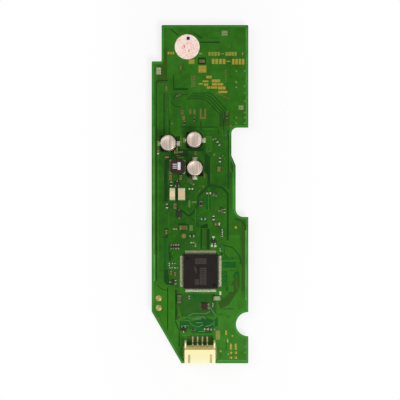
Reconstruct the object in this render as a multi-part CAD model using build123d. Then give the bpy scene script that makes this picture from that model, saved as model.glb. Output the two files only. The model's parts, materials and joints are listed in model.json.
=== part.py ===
from build123d import *
import os

# Optical drive circuit board: a narrow glass-fibre board with its components on both faces.
# Frame: X across the board, Y along it towards the stepped end, Z up through the component side.
# The origin is under the middle of the board, on the plane that the underside connectors rest on.

os.makedirs("parts", exist_ok=True)

# ---------------------------------------------------------------- driving dimensions (mm)

BOARD_WIDTH = 40.0
BOARD_LENGTH = 140.0
BOARD_THICKNESS = 1.6
CORNER_RADIUS = 0.5
LAND_THICKNESS = 0.05          # copper and solder that every part stands on
SOLDER_TOE = 0.35              # how far the solder runs out past a terminal's end
CONNECTOR_STANDOFF = 2.5       # height of the ribbon connectors under the board

STEP_WIDTH = 4.1               # step at the upper left corner
STEP_LENGTH = 15.0
SLANT_RUN = 12.35              # slanted corner at the lower left
SLANT_RISE = 21.4

NOTCH_TOP = 27.65              # long notch in the right edge
NOTCH_BOTTOM = -9.45
NOTCH_DEEP_X = 13.0
NOTCH_SHALLOW_X = 14.75
NOTCH_TAPER_TOP = 16.0
NOTCH_TAPER_BOTTOM = 11.9
NOTCH_TOP_RADIUS = 2.5
NOTCH_BOTTOM_RADIUS = 3.3

POST_NOTCH_RADIUS = 5.1        # half-round notch low on the right edge
POST_NOTCH_Y = -53.9

HALF_WIDTH = BOARD_WIDTH / 2
HALF_LENGTH = BOARD_LENGTH / 2
UNDER_SEAT = CONNECTOR_STANDOFF                    # where underside parts are soldered
BOARD_BOTTOM = UNDER_SEAT + LAND_THICKNESS
BOARD_TOP = BOARD_BOTTOM + BOARD_THICKNESS
SEAT = BOARD_TOP + LAND_THICKNESS                  # where component-side parts are soldered

WIRE_HOLES = [(-17.1, -43.1), (-17.1, -47.1)]
WIRE_HOLE_RADIUS = 0.55
WIRE_PAD_RADIUS = 1.25
WIRE_CONE = 0.45

# Electrolytic capacitors: centre and the way the positive terminal points, in degrees
CAPACITORS = {"1": (-12.95, 20.95, 0), "2": (-2.3, 22.3, 0), "3": (-2.1, 10.7, 90)}
CAN_RADIUS = 3.15
CAN_HEIGHT = 5.1
CAN_GROOVE_DEPTH = 0.3
CAN_GROOVE_LOW = 0.75          # above the can's underside
CAN_GROOVE_HEIGHT = 0.8
CAN_GROOVE_FLANK = 0.25
CAN_EDGE = 0.35
BASE_SIZE = 6.6
BASE_HEIGHT = 1.15
BASE_FLOOR = 0.7
BASE_CHAMFER = 1.4
CAN_TERMINAL_WIDTH = 0.7
CAN_TERMINAL_REACH = 3.85
CAN_TERMINAL_THICKNESS = 0.2
CAN_TERMINAL_INNER = 0.9

# Main chip: quad flat pack
MAIN_CHIP_X = 0.3
MAIN_CHIP_Y = -31.9
MAIN_CHIP_SIZE = 14.0
MAIN_CHIP_SPAN = 16.0
MAIN_CHIP_PITCH = 0.4
MAIN_CHIP_LEADS_A_SIDE = 32
MAIN_CHIP_HEIGHT = 1.5
MAIN_CHIP_TOE = 0.6              # its lands run out further than the small parts' do

# Power inductor
INDUCTOR_X = -9.3
INDUCTOR_Y = 11.3
INDUCTOR_WIDTH = 6.1
INDUCTOR_DEPTH = 5.8
INDUCTOR_HEIGHT = 2.9
INDUCTOR_FLANGE = 0.75
INDUCTOR_POST_RADIUS = 1.35

# Four-way power header, mouth at the lower edge of the board
HEADER_PITCH = 2.0
HEADER_WAYS = 4
HEADER_WIDTH = 12.6
HEADER_HEIGHT = 5.7
HEADER_FRONT_Y = -69.5
HEADER_BACK_Y = -62.4
HEADER_EAR_Y = -60.3
HEADER_TOP_BACK_Y = -63.4
HEADER_WALL = 0.8
HEADER_FLOOR = 0.55
HEADER_ROOF = 0.65
HEADER_CAVITY_BACK_Y = -64.4
HEADER_PIN_SIZE = 0.5
HEADER_PIN_TIP_Y = -68.0
HEADER_PIN_HEEL_Y = -61.4
HEADER_PIN_FOOT_Y = -58.9
HEADER_TAB_LENGTH = 5.0
HEADER_TAB_Y = -65.4

STICKER_X = -5.3
STICKER_Y = 61.0
STICKER_RADIUS = 5.15
STICKER_THICKNESS = 0.1

# ---------------------------------------------------------------- placement tables
# Chip parts: x, y, turn in degrees, size name. Sizes are length, width, height, end cap.

CHIP_SIZES = {
    "tiny": (1.0, 0.5, 0.35, 0.25),
    "small": (1.6, 0.8, 0.45, 0.3),
    "medium": (2.0, 1.25, 0.6, 0.4),
    "large": (3.2, 1.6, 0.85, 0.5),
}

CHIP_RESISTORS = [
    (-6.5, 29.4, 90, "small"), (-2.4, 31.0, 90, "small"),
    (5.9, 22.8, 20, "tiny"), (7.6, 21.0, -57, "small"), (8.2, 14.2, 90, "small"),
    (-11.9, 4.3, 90, "small"), (-13.7, -4.9, 90, "small"), (0.4, -3.9, 90, "medium"),
    (5.6, -9.8, 90, "small"), (1.4, -10.2, 0, "small"), (9.2, -15.2, 90, "tiny"),
    (9.2, -17.0, 90, "tiny"), (-3.4, -17.3, 0, "small"), (-1.9, -21.0, 90, "tiny"),
    (-12.0, -30.4, 0, "tiny"), (-9.9, -30.4, 0, "tiny"), (-10.9, -28.6, 0, "tiny"),
    (5.3, -45.8, 90, "tiny"), (-2.8, -56.0, 0, "small"), (-8.4, -51.0, 45, "tiny"),
    (10.6, 24.8, 90, "tiny"), (11.1, 32.2, 90, "small"),
]

CHIP_CAPACITORS = [
    (-17.3, 17.5, 90, "small"), (-13.6, 15.3, 0, "small"), (-9.1, 16.0, 0, "tiny"),
    (-1.9, 16.9, 90, "small"), (-8.0, 17.5, 0, "small"), (3.9, 18.4, 90, "tiny"),
    (-12.2, 7.0, 90, "medium"), (-8.0, 7.0, 90, "medium"), (7.8, 10.4, 90, "medium"),
    (-10.4, -4.9, 90, "medium"), (3.6, 0.4, 0, "small"), (6.2, -0.4, -20, "medium"),
    (-0.3, 1.4, 60, "tiny"), (7.1, -12.3, 0, "medium"), (-13.9, -15.6, 90, "small"),
    (-10.3, -14.4, 0, "tiny"), (-3.2, -20.0, 0, "tiny"),
    (8.3, -23.0, 90, "tiny"), (-12.7, -29.0, 90, "tiny"), (-12.0, -32.5, 90, "small"),
    (-10.3, -33.0, 90, "small"), (-8.6, -43.3, 90, "large"), (7.1, -43.0, 0, "large"),
    (-4.5, -42.7, 90, "tiny"), (2.6, -55.8, 0, "small"), (5.3, -55.9, 0, "small"),
    (-13.9, 43.8, 90, "small"), (-8.9, 40.9, 20, "small"), (0.8, 55.0, 0, "medium"),
    (-8.0, 52.4, 90, "small"), (-7.7, 34.2, 90, "small"),
]

UNDERSIDE_CAPACITORS = [
    (-14.0, -20.0, 90, "medium"), (-14.0, -26.0, 90, "medium"), (13.0, -20.0, 90, "medium"),
    (13.0, -26.0, 90, "medium"), (-9.0, 30.0, 0, "small"), (-4.0, 30.0, 0, "small"),
    (9.0, 30.0, 0, "small"), (-15.0, 44.0, 90, "medium"), (15.0, 44.0, 90, "medium"),
]

# Large ceramic filter capacitors: x, y, length, width
FILTER_CAPACITORS = [(-11.4, 0.1, 4.7, 2.2), (-7.6, 0.1, 4.7, 2.9)]
FILTER_CAPACITOR_HEIGHT = 1.7
FILTER_CAPACITOR_END = 1.1

TANTALUM_END = 0.5
TANTALUM = (-6.8, -13.8, 3.2, 1.8, 1.5)       # x, y, length, width, height
RESISTOR_NETWORK = (-10.4, -21.7, 0)          # x, y, turn

# Small moulded chips: width, depth, height, span, pitch, back leads, front leads, lead width
REGULATOR_FORM = (2.9, 2.3, 1.0, 3.6, 0.65, 4, 4, 0.25)
TRANSISTOR_FORM = (2.0, 1.25, 0.9, 2.3, 1.3, 1, 2, 0.3)
DIODE_FORM = (1.8, 2.6, 1.1, 3.7, 0.0, 1, 1, 0.9)
# Each one's x, y and turn
REGULATORS = [(1.9, -46.4, 90)]
TRANSISTORS = [(5.6, -19.5, 0), (-6.8, -55.9, 180), (-9.4, 4.4, 0), (9.1, -6.9, 90), (-11.2, -36.4, 90)]
DIODES = [(-8.6, -8.2, 0), (-4.0, 5.4, 45)]

# Bare test pads: x, y, width, depth. Round ones: x, y, radius
TEST_PADS = [
    (12.8, -63.1, 0.9, 2.5), (14.8, -63.1, 0.9, 2.5), (12.8, -65.6, 0.9, 0.9), (14.8, -65.6, 0.9, 0.9),
    (12.8, -67.6, 0.9, 0.9), (14.8, -67.6, 0.9, 0.9), (7.4, -58.3, 1.8, 3.8), (10.8, -57.3, 0.7, 1.9),
    (11.4, -60.6, 0.6, 1.5), (-3.5, 54.9, 2.3, 1.9), (1.0, 51.8, 3.2, 2.9), (3.7, 48.5, 2.3, 1.1),
    (-3.7, -14.0, 1.4, 2.4), (-4.4, -4.0, 0.7, 3.0), (-2.4, -3.3, 2.0, 0.7),
]
TINNED_PADS = [
    (-17.1, 51.0, 1.9, 2.9), (10.2, 66.7, 2.5, 2.1), (17.0, 35.9, 2.1, 1.9),
]
ROUND_PAD_SIDES = 12
ROUND_TEST_PADS = [
    (14.8, -13.7, 0.55), (-6.7, -17.3, 0.95), (13.4, -58.6, 0.4), (11.6, -66.1, 0.35), (8.5, -64.9, 0.45),
    (18.5, 51.0, 0.4), (18.5, 44.8, 0.4), (18.5, 41.9, 0.4), (18.5, 38.7, 0.4), (18.5, 33.8, 0.4),
    (18.5, 31.8, 0.4), (18.5, 29.4, 0.4), (15.0, 51.0, 0.4), (15.0, 46.4, 0.55), (15.0, 44.3, 0.45),
    (15.0, 31.8, 0.4), (15.0, 29.4, 0.4), (18.5, -63.0, 0.4), (18.5, -65.4, 0.4),
]

# Ribbon connectors under the board: x, y, turn, pitch, ways
RIBBON_CONNECTORS = {
    "host": (0.0, 60.0, 0, 1.0, 20),
    "pickup": (-10.0, 12.0, 90, 0.5, 24),
    "motor": (2.0, -55.0, 180, 1.0, 12),
}
RIBBON_DEPTH = 5.2
RIBBON_SLOT_FLOOR = 1.0
RIBBON_SLOT_HEIGHT = 0.5
RIBBON_SLOT_BACK = 1.2
RIBBON_END = 2.0
RIBBON_TAIL = 0.9

# Motor driver chip under the board
DRIVER_X = 0.0
DRIVER_Y = -23.0
DRIVER_LENGTH = 15.2
DRIVER_WIDTH = 7.6
DRIVER_HEIGHT = 2.2
DRIVER_SPAN = 9.9
DRIVER_PITCH = 0.8
DRIVER_LEADS_A_SIDE = 14
DRIVER_TAB_GAP = 3.2

# ---------------------------------------------------------------- helpers


def save(node, shapes):
    """Write the separate solids of one sub-part to its own STEP file."""
    solids = [solid for shape in shapes for solid in shape.solids()]
    whole = solids[0] if len(solids) == 1 else Compound(children=solids)
    export_step(whole, f"parts/{node}.step")


def block(width, depth, height, x=0.0, y=0.0, z=0.0):
    """Box centred on (x, y) that stands on height z."""
    return Pos(x, y, z + height / 2) * Box(width, depth, height)


def strip(outline, width):
    """Solid of a closed (y, z) outline, extruded along X to a width about X = 0."""
    face = Plane.YZ * make_face(Polyline(*outline, close=True))
    return extrude(face, width / 2, both=True)


def top_side(x, y, turn=0):
    """Place of a part soldered to the component side."""
    return Pos(x, y, SEAT) * Rot(0, 0, turn)


def under_side(x, y, turn=0):
    """Place of a part soldered to the underside, hanging upside down."""
    return Pos(x, y, UNDER_SEAT) * Rot(0, 0, turn) * Rot(180, 0, 0)


def land(inner, outer, width, face, rise):
    """Copper land under a terminal, with solder that slopes up against the terminal's end face."""
    return strip([
        (inner, -LAND_THICKNESS),
        (outer, -LAND_THICKNESS),
        (face, rise),
        (face, 0),
        (inner, 0),
    ], width)


def soldered_end(inner, outer, width, height):
    """Metal end of a leadless chip, from inner to outer, with solder that slopes from its top edge."""
    return strip([
        (inner, -LAND_THICKNESS),
        (inner, height),
        (outer, height),
        (outer + SOLDER_TOE, -LAND_THICKNESS),
    ], width)


def gull_lead(edge, tip, exit_height, width, thickness, foot, toe=SOLDER_TOE):
    """Gull-wing lead along +Y: a shoulder out of the body at edge, a leg down, a foot and its solder."""
    heel = tip - foot
    shoulder = heel - exit_height * 0.25
    return strip([
        (edge, exit_height),
        (edge, exit_height + thickness),
        (shoulder + thickness, exit_height + thickness),
        (heel + thickness, thickness),
        (tip, thickness),
        (tip + toe, -LAND_THICKNESS),
        (heel, -LAND_THICKNESS),
        (shoulder, exit_height),
    ], width)


def moulded_body(width, depth, bottom, band_bottom, band_top, top, draft=8):
    """Moulded chip body: drafted halves above and below a straight band that the leads leave from."""
    outline = Rectangle(width, depth)
    lower = extrude(Pos(0, 0, band_bottom) * outline, band_bottom - bottom, dir=(0, 0, -1), taper=draft)
    upper = extrude(Pos(0, 0, band_top) * outline, top - band_top, taper=draft)
    band = block(width, depth, band_top - band_bottom, z=band_bottom)
    return lower + band + upper


def row_of_leads(count, pitch, lead):
    """Copies of a lead, spaced by pitch along X about X = 0."""
    first = -(count - 1) / 2 * pitch
    return [Pos(first + index * pitch, 0, 0) * lead for index in range(count)]


# ---------------------------------------------------------------- board


def circuit_board():
    """Board blank with its stepped, slanted and notched outline, and the two wire holes."""
    step = Rectangle(STEP_WIDTH, STEP_LENGTH)
    step = Pos(-HALF_WIDTH + STEP_WIDTH / 2, HALF_LENGTH - STEP_LENGTH / 2) * step
    slant = make_face(Polyline(
        (-HALF_WIDTH, -HALF_LENGTH),
        (-HALF_WIDTH + SLANT_RUN, -HALF_LENGTH),
        (-HALF_WIDTH, -HALF_LENGTH + SLANT_RISE),
        close=True,
    ))
    blank = Rectangle(BOARD_WIDTH, BOARD_LENGTH) - step - slant
    blank = fillet(blank.vertices(), CORNER_RADIUS)
    beyond = HALF_WIDTH + 1
    notch = make_face(Polyline(
        (beyond, NOTCH_TOP),
        (NOTCH_DEEP_X, NOTCH_TOP),
        (NOTCH_DEEP_X, NOTCH_TAPER_TOP),
        (NOTCH_SHALLOW_X, NOTCH_TAPER_BOTTOM),
        (NOTCH_SHALLOW_X, NOTCH_BOTTOM),
        (beyond, NOTCH_BOTTOM),
        close=True,
    ))
    corners = notch.vertices().sort_by(Axis.X)
    upper_corner = corners.filter_by_position(Axis.Y, NOTCH_TOP - 0.1, NOTCH_TOP + 0.1)[0]
    notch = fillet(upper_corner, NOTCH_TOP_RADIUS)
    corners = notch.vertices().sort_by(Axis.X)
    lower_corner = corners.filter_by_position(Axis.Y, NOTCH_BOTTOM - 0.1, NOTCH_BOTTOM + 0.1)[0]
    notch = fillet(lower_corner, NOTCH_BOTTOM_RADIUS)
    outline = blank - notch - Pos(HALF_WIDTH, POST_NOTCH_Y) * Circle(POST_NOTCH_RADIUS)
    for x, y in WIRE_HOLES:
        outline -= Pos(x, y) * Circle(WIRE_HOLE_RADIUS)
    return extrude(Pos(0, 0, BOARD_BOTTOM) * outline, BOARD_THICKNESS)


# ---------------------------------------------------------------- capacitors with round cans


def can_terminal():
    """Flat terminal that runs out along +Y under the base and turns up into it."""
    inner, reach, thick = CAN_TERMINAL_INNER, CAN_TERMINAL_REACH, CAN_TERMINAL_THICKNESS
    return strip([
        (inner, 0),
        (reach, 0),
        (reach, thick),
        (inner + thick, thick),
        (inner + thick, BASE_FLOOR),
        (inner, BASE_FLOOR),
    ], CAN_TERMINAL_WIDTH)


def can_terminals():
    """The two terminals, positive one towards +X."""
    return [Rot(0, 0, turn) * can_terminal() for turn in (-90, 90)]


def can_base():
    """Square moulded base with a round seat, two cut corners on the positive side and terminal grooves."""
    half = BASE_SIZE / 2
    outline = make_face(Polyline(
        (-half, -half),
        (half - BASE_CHAMFER, -half),
        (half, -half + BASE_CHAMFER),
        (half, half - BASE_CHAMFER),
        (half - BASE_CHAMFER, half),
        (-half, half),
        close=True,
    ))
    base = extrude(outline, BASE_HEIGHT)
    base -= Pos(0, 0, BASE_FLOOR + BASE_HEIGHT / 2) * Cylinder(CAN_RADIUS + 0.03, BASE_HEIGHT)
    for terminal in can_terminals():
        base -= terminal
    return base


def can():
    """Drawn aluminium can with a rolled groove near the base and a rounded top edge."""
    low, high, radius = BASE_FLOOR, BASE_FLOOR + CAN_HEIGHT, CAN_RADIUS
    groove_low = low + CAN_GROOVE_LOW
    groove_high = groove_low + CAN_GROOVE_HEIGHT
    neck = radius - CAN_GROOVE_DEPTH
    with BuildPart() as part:
        with BuildSketch(Plane.XZ):
            with BuildLine():
                Polyline(
                    (0, low),
                    (radius, low),
                    (radius, groove_low),
                    (neck, groove_low + CAN_GROOVE_FLANK),
                    (neck, groove_high - CAN_GROOVE_FLANK),
                    (radius, groove_high),
                    (radius, high - CAN_EDGE),
                )
                RadiusArc((radius, high - CAN_EDGE), (radius - CAN_EDGE, high), -CAN_EDGE)
                Polyline((radius - CAN_EDGE, high), (0, high), (0, low))
            make_face()
        revolve(axis=Axis.Z)
    return part.part


def can_lands():
    """Lands and solder of the two terminals."""
    piece = land(1.6, 4.7, 2.0, face=CAN_TERMINAL_REACH, rise=CAN_TERMINAL_THICKNESS)
    return [Rot(0, 0, turn) * piece for turn in (-90, 90)]


# ---------------------------------------------------------------- chips with leads


def main_chip():
    """Quad flat pack: body and leads, in its own frame."""
    lead_low, lead_high = 0.68, 0.81
    body = moulded_body(MAIN_CHIP_SIZE, MAIN_CHIP_SIZE, 0.1, lead_low, lead_high, MAIN_CHIP_HEIGHT)
    mark = 5.6
    body -= Pos(-mark, mark, MAIN_CHIP_HEIGHT) * Cylinder(0.55, 0.16)
    body -= Pos(mark, -mark, MAIN_CHIP_HEIGHT) * Cylinder(0.75, 0.1)
    half_size, half_span = MAIN_CHIP_SIZE / 2, MAIN_CHIP_SPAN / 2
    lead = gull_lead(half_size, half_span, lead_low, 0.19, lead_high - lead_low, 0.5, MAIN_CHIP_TOE)
    side = row_of_leads(MAIN_CHIP_LEADS_A_SIDE, MAIN_CHIP_PITCH, lead)
    leads = [Rot(0, 0, turn) * item for turn in (0, 90, 180, 270) for item in side]
    return body, leads


def small_outline(width, depth, height, span, pitch, back, front, lead_width):
    """Small moulded chip: body and leads. back and front count the leads along +Y and -Y."""
    thick = 0.15
    lead_low = height * 0.42
    body = moulded_body(width, depth, 0.08, lead_low, lead_low + thick, height)
    lead = gull_lead(depth / 2, span / 2, lead_low, lead_width, thick, 0.35)
    leads = []
    for turn, count in ((0, back), (180, front)):
        leads += [Rot(0, 0, turn) * item for item in row_of_leads(count, pitch, lead)]
    return body, leads


def motor_driver():
    """Long driver chip of the underside: body, leads and heat tabs."""
    lead_low, thick = 0.9, 0.2
    body = moulded_body(DRIVER_LENGTH, DRIVER_WIDTH, 0.1, lead_low, lead_low + thick, DRIVER_HEIGHT)
    edge, tip = DRIVER_WIDTH / 2, DRIVER_SPAN / 2
    lead = gull_lead(edge, tip, lead_low, 0.35, thick, 0.6)
    tab = gull_lead(edge, tip, lead_low, DRIVER_TAB_GAP - DRIVER_PITCH, thick, 0.6)
    half = DRIVER_LEADS_A_SIDE // 2
    offset = DRIVER_TAB_GAP / 2 + (half - 1) / 2 * DRIVER_PITCH
    leads, tabs = [], []
    for turn in (0, 180):
        for shift in (-offset, offset):
            place = Rot(0, 0, turn) * Pos(shift, 0, 0)
            leads += [place * item for item in row_of_leads(half, DRIVER_PITCH, lead)]
        tabs.append(Rot(0, 0, turn) * tab)
    return body, leads, tabs


# ---------------------------------------------------------------- chip parts without leads


def chip(length, width, height, end):
    """Leadless chip lying along Y: body and its two soldered end caps."""
    body = block(width, length - 2 * end, height - 0.04, z=0.02)
    cap = soldered_end(length / 2 - end, length / 2, width + 0.04, height)
    return body, [Rot(0, 0, turn) * cap for turn in (0, 180)]


def resistor(length, width, height, end):
    """Chip resistor: ceramic body, dark glaze on top of it and end caps."""
    glaze_thickness = 0.08
    caps = chip(length, width, height, end)[1]
    body = block(width, length - 2 * end, height - glaze_thickness - 0.02, z=0.02)
    glaze = block(width - 0.06, length - 2 * end, glaze_thickness, z=height - glaze_thickness)
    return body, glaze, caps


def resistor_network():
    """Eight-terminal resistor network: body and castellated terminals."""
    depth, height, ways, pitch = 0.9, 0.5, 4, 1.0
    body = block(ways * pitch, depth, height)
    terminal = soldered_end(depth / 2, depth / 2 + 0.5, 0.6, height - 0.05)
    row = row_of_leads(ways, pitch, terminal)
    return body, [Rot(0, 0, turn) * item for turn in (0, 180) for item in row]


# ---------------------------------------------------------------- inductor


def inductor():
    """Square shielded inductor: ferrite spool, copper winding, terminals and lands."""
    corner = 1.0
    flange = Rectangle(INDUCTOR_WIDTH, INDUCTOR_DEPTH)
    flange = chamfer(flange.vertices(), corner)
    low = 0.2
    top = INDUCTOR_HEIGHT - INDUCTOR_FLANGE
    spool = extrude(Pos(0, 0, low) * flange, INDUCTOR_FLANGE - low)
    spool += extrude(Pos(0, 0, top) * flange, INDUCTOR_FLANGE)
    post = Cylinder(INDUCTOR_POST_RADIUS, top - INDUCTOR_FLANGE)
    middle = Pos(0, 0, (top + INDUCTOR_FLANGE) / 2)
    spool += middle * post
    winding = middle * (Cylinder(INDUCTOR_DEPTH / 2 - 0.35, top - INDUCTOR_FLANGE) - post)
    terminals, pads = [], []
    for side in (-1, 1):
        terminals.append(block(1.7, INDUCTOR_DEPTH - 0.4, low, x=side * (INDUCTOR_WIDTH / 2 - 0.85)))
        pads.append(Pos(0, 0, -LAND_THICKNESS) * block(2.2, INDUCTOR_DEPTH, LAND_THICKNESS,
                                                       x=side * (INDUCTOR_WIDTH / 2 - 0.9)))
    return spool, winding, terminals, pads


# ---------------------------------------------------------------- power header


def header_housing():
    """Side-entry housing: open mouth at the board's edge, stepped and notched back, an ear each side."""
    height = HEADER_HEIGHT
    ledge = height * 0.62
    outline = [
        (HEADER_FRONT_Y, 0),
        (HEADER_BACK_Y, 0),
        (HEADER_BACK_Y, ledge),
        (HEADER_TOP_BACK_Y, height - 0.5),
        (HEADER_TOP_BACK_Y, height),
        (HEADER_FRONT_Y, height),
    ]
    housing = strip(outline, HEADER_WIDTH)
    ear = strip([
        (HEADER_BACK_Y, 0),
        (HEADER_EAR_Y, 0),
        (HEADER_EAR_Y, height * 0.55),
        (HEADER_EAR_Y - 0.6, height * 0.8),
        (HEADER_BACK_Y, height * 0.8),
    ], HEADER_WALL - 0.1)
    ear_x = (HEADER_WIDTH - HEADER_WALL + 0.1) / 2
    housing += Pos(ear_x, 0, 0) * ear
    housing += Pos(-ear_x, 0, 0) * ear
    bridge_depth = HEADER_BACK_Y - HEADER_TOP_BACK_Y
    for side in (-1, 1):
        housing += block(HEADER_WALL - 0.1, bridge_depth, height * 0.8, x=side * ear_x,
                         y=HEADER_BACK_Y - bridge_depth / 2)
    depth = HEADER_CAVITY_BACK_Y - HEADER_FRONT_Y
    cavity = block(HEADER_WIDTH - 2 * HEADER_WALL, depth, height - HEADER_FLOOR - HEADER_ROOF,
                   y=HEADER_FRONT_Y + depth / 2, z=HEADER_FLOOR)
    housing -= cavity
    for side in (-1, 1):
        housing -= block(1.2, 2.4, HEADER_FLOOR, x=side * 3.4, y=HEADER_FRONT_Y + 1.2)
        housing -= block(0.85, 3.3, 0.25, x=side * 4.45, y=-67.0, z=height - 0.25)
    for pin_x, pin in zip(header_pin_places(), header_pins()):
        housing -= block(0.9, 1.0, height, x=pin_x, y=HEADER_BACK_Y, z=header_pin_level() + HEADER_PIN_SIZE)
        housing -= pin
    return housing


def header_pin_level():
    """Height of the underside of the pins' straight run."""
    return (HEADER_HEIGHT - HEADER_ROOF + HEADER_FLOOR - HEADER_PIN_SIZE) / 2


def header_pin_places():
    """X of each pin."""
    first = -(HEADER_WAYS - 1) / 2 * HEADER_PITCH
    return [first + index * HEADER_PITCH for index in range(HEADER_WAYS)]


def header_pins():
    """Square pins: straight through the back wall, down behind it, and a foot along the board."""
    low, size, point = header_pin_level(), HEADER_PIN_SIZE, 0.15
    foot_thickness = 0.35
    pin = strip([
        (HEADER_PIN_TIP_Y, low + point),
        (HEADER_PIN_TIP_Y, low + size - point),
        (HEADER_PIN_TIP_Y + 2 * point, low + size),
        (HEADER_PIN_HEEL_Y - 0.2, low + size),
        (HEADER_PIN_HEEL_Y + 0.2, low + size - 0.4),
        (HEADER_PIN_HEEL_Y + 0.3, foot_thickness),
        (HEADER_PIN_FOOT_Y, foot_thickness),
        (HEADER_PIN_FOOT_Y, 0),
        (HEADER_PIN_HEEL_Y, 0),
        (HEADER_PIN_HEEL_Y - 0.2, low),
        (HEADER_PIN_TIP_Y + 2 * point, low),
    ], size)
    return [Pos(x, 0, 0) * pin for x in header_pin_places()]


def header_lands():
    """Lands and solder under the pins' feet."""
    piece = land(HEADER_PIN_HEEL_Y - 0.1, HEADER_PIN_FOOT_Y + 0.35, 0.8, face=HEADER_PIN_FOOT_Y, rise=0.25)
    return [Pos(x, 0, 0) * piece for x in header_pin_places()]


def header_tabs():
    """Metal hold-down tab on each side of the housing, with a foot on its own land."""
    tabs, pads = [], []
    for side in (-1, 1):
        wall = side * HEADER_WIDTH / 2
        upright = block(0.25, HEADER_TAB_LENGTH, 1.8, x=wall + side * 0.125, y=HEADER_TAB_Y)
        foot = block(0.3, HEADER_TAB_LENGTH, 0.25, x=wall + side * 0.4, y=HEADER_TAB_Y)
        tabs.append(upright + foot)
        pads.append(block(0.8, HEADER_TAB_LENGTH + 0.4, LAND_THICKNESS, x=wall + side * 0.35,
                          y=HEADER_TAB_Y, z=-LAND_THICKNESS))
    return tabs, pads


# ---------------------------------------------------------------- ribbon connectors


def ribbon_connector(pitch, ways):
    """Low slide-in ribbon connector, mouth towards -Y: housing, contacts and hold-down tabs."""
    inner = ways * pitch
    length = inner + 2 * RIBBON_END
    back = RIBBON_DEPTH / 2
    front = -back
    floor, ceiling = RIBBON_SLOT_FLOOR, RIBBON_SLOT_FLOOR + RIBBON_SLOT_HEIGHT
    mouth_lip = 0.35
    housing = strip([
        (front, 0),
        (back, 0),
        (back, CONNECTOR_STANDOFF - 0.4),
        (back - 0.4, CONNECTOR_STANDOFF),
        (front, CONNECTOR_STANDOFF),
    ], length)
    slot = strip([
        (front, floor - mouth_lip),
        (front + mouth_lip, floor),
        (RIBBON_SLOT_BACK, floor),
        (RIBBON_SLOT_BACK, ceiling),
        (front + mouth_lip, ceiling),
        (front, ceiling + mouth_lip),
    ], inner + 0.6 * pitch)
    housing -= slot
    comb_front = front + 1.1
    comb = block(pitch * 0.5, RIBBON_SLOT_BACK - comb_front, CONNECTOR_STANDOFF - ceiling,
                 y=(RIBBON_SLOT_BACK + comb_front) / 2, z=ceiling)
    housing -= Compound(children=row_of_leads(ways, pitch, comb))
    thick, width = 0.18, pitch * 0.35
    tip = back + RIBBON_TAIL
    contact_outline = [
        (front + 0.9, floor - thick),
        (back, floor - thick),
        (back, -LAND_THICKNESS),
        (tip + SOLDER_TOE, -LAND_THICKNESS),
        (tip, thick),
        (back + thick, thick),
        (back + thick, floor),
        (front + 0.9, floor),
    ]
    housing -= strip(contact_outline, inner - pitch + width)
    contacts = row_of_leads(ways, pitch, strip(contact_outline, width))
    upright_height, foot_height, foot_width, depth = 1.2, 0.2, 0.8, 1.6
    tabs = []
    for side in (-1, 1):
        end = side * length / 2
        upright = block(0.25, depth, upright_height, x=end + side * 0.125, y=-0.8)
        foot = block(foot_width, depth, foot_height + LAND_THICKNESS,
                     x=end + side * (0.25 + foot_width / 2), y=-0.8, z=-LAND_THICKNESS)
        tabs.append(upright + foot)
    return housing, contacts, tabs


# ---------------------------------------------------------------- solder


def wire_joint():
    """Solder that fills a plated wire hole and stands as a low cone on both faces of the board."""
    cone = Cone(WIRE_PAD_RADIUS, WIRE_PAD_RADIUS * 0.45, WIRE_CONE)
    joint = Pos(0, 0, BOARD_BOTTOM + BOARD_THICKNESS / 2) * Cylinder(WIRE_HOLE_RADIUS, BOARD_THICKNESS)
    joint += Pos(0, 0, BOARD_TOP + WIRE_CONE / 2) * cone
    joint += Pos(0, 0, BOARD_BOTTOM - WIRE_CONE / 2) * Rot(180, 0, 0) * cone
    return joint


# ---------------------------------------------------------------- build and write

save("circuit_board", [circuit_board()])

lands = []

for number, (x, y, turn) in CAPACITORS.items():
    place = top_side(x, y, turn)
    save(f"capacitor_{number}_can", [place * can()])
    save(f"capacitor_{number}_base", [place * can_base()])
    save(f"capacitor_{number}_terminals", [place * item for item in can_terminals()])
    lands += [place * item for item in can_lands()]

place = top_side(MAIN_CHIP_X, MAIN_CHIP_Y)
body, leads = main_chip()
save("main_chip_body", [place * body])
save("main_chip_leads", [place * item for item in leads])

place = top_side(INDUCTOR_X, INDUCTOR_Y)
spool, winding, terminals, pads = inductor()
save("inductor_spool", [place * spool])
save("inductor_winding", [place * winding])
save("inductor_terminals", [place * item for item in terminals])
lands += [place * item for item in pads]

place = top_side(0, 0)
tabs, pads = header_tabs()
save("power_header_housing", [place * header_housing()])
save("power_header_pins", [place * item for item in header_pins()])
save("power_header_tabs", [place * item for item in tabs])
lands += [place * item for item in header_lands() + pads]
save("solder_lands", lands)

bodies, glazes, caps = [], [], []
for x, y, turn, size in CHIP_RESISTORS:
    place = top_side(x, y, turn - 90)
    body, glaze, ends = resistor(*CHIP_SIZES[size])
    bodies.append(place * body)
    glazes.append(place * glaze)
    caps += [place * item for item in ends]
save("chip_resistor_bodies", bodies)
save("chip_resistor_glazes", glazes)
save("chip_resistor_end_caps", caps)

CHIP_ROWS = (("chip", CHIP_CAPACITORS, top_side), ("underside", UNDERSIDE_CAPACITORS, under_side))
for name, places, side in CHIP_ROWS:
    bodies, caps = [], []
    for x, y, turn, size in places:
        place = side(x, y, turn - 90)
        body, ends = chip(*CHIP_SIZES[size])
        bodies.append(place * body)
        caps += [place * item for item in ends]
    save(f"{name}_capacitor_bodies", bodies)
    save(f"{name}_capacitor_end_caps", caps)

bodies, caps = [], []
for x, y, length, width in FILTER_CAPACITORS:
    place = top_side(x, y)
    body, ends = chip(length, width, FILTER_CAPACITOR_HEIGHT, FILTER_CAPACITOR_END)
    bodies.append(place * body)
    caps += [place * item for item in ends]
save("filter_capacitor_bodies", bodies)
save("filter_capacitor_end_caps", caps)

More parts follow.
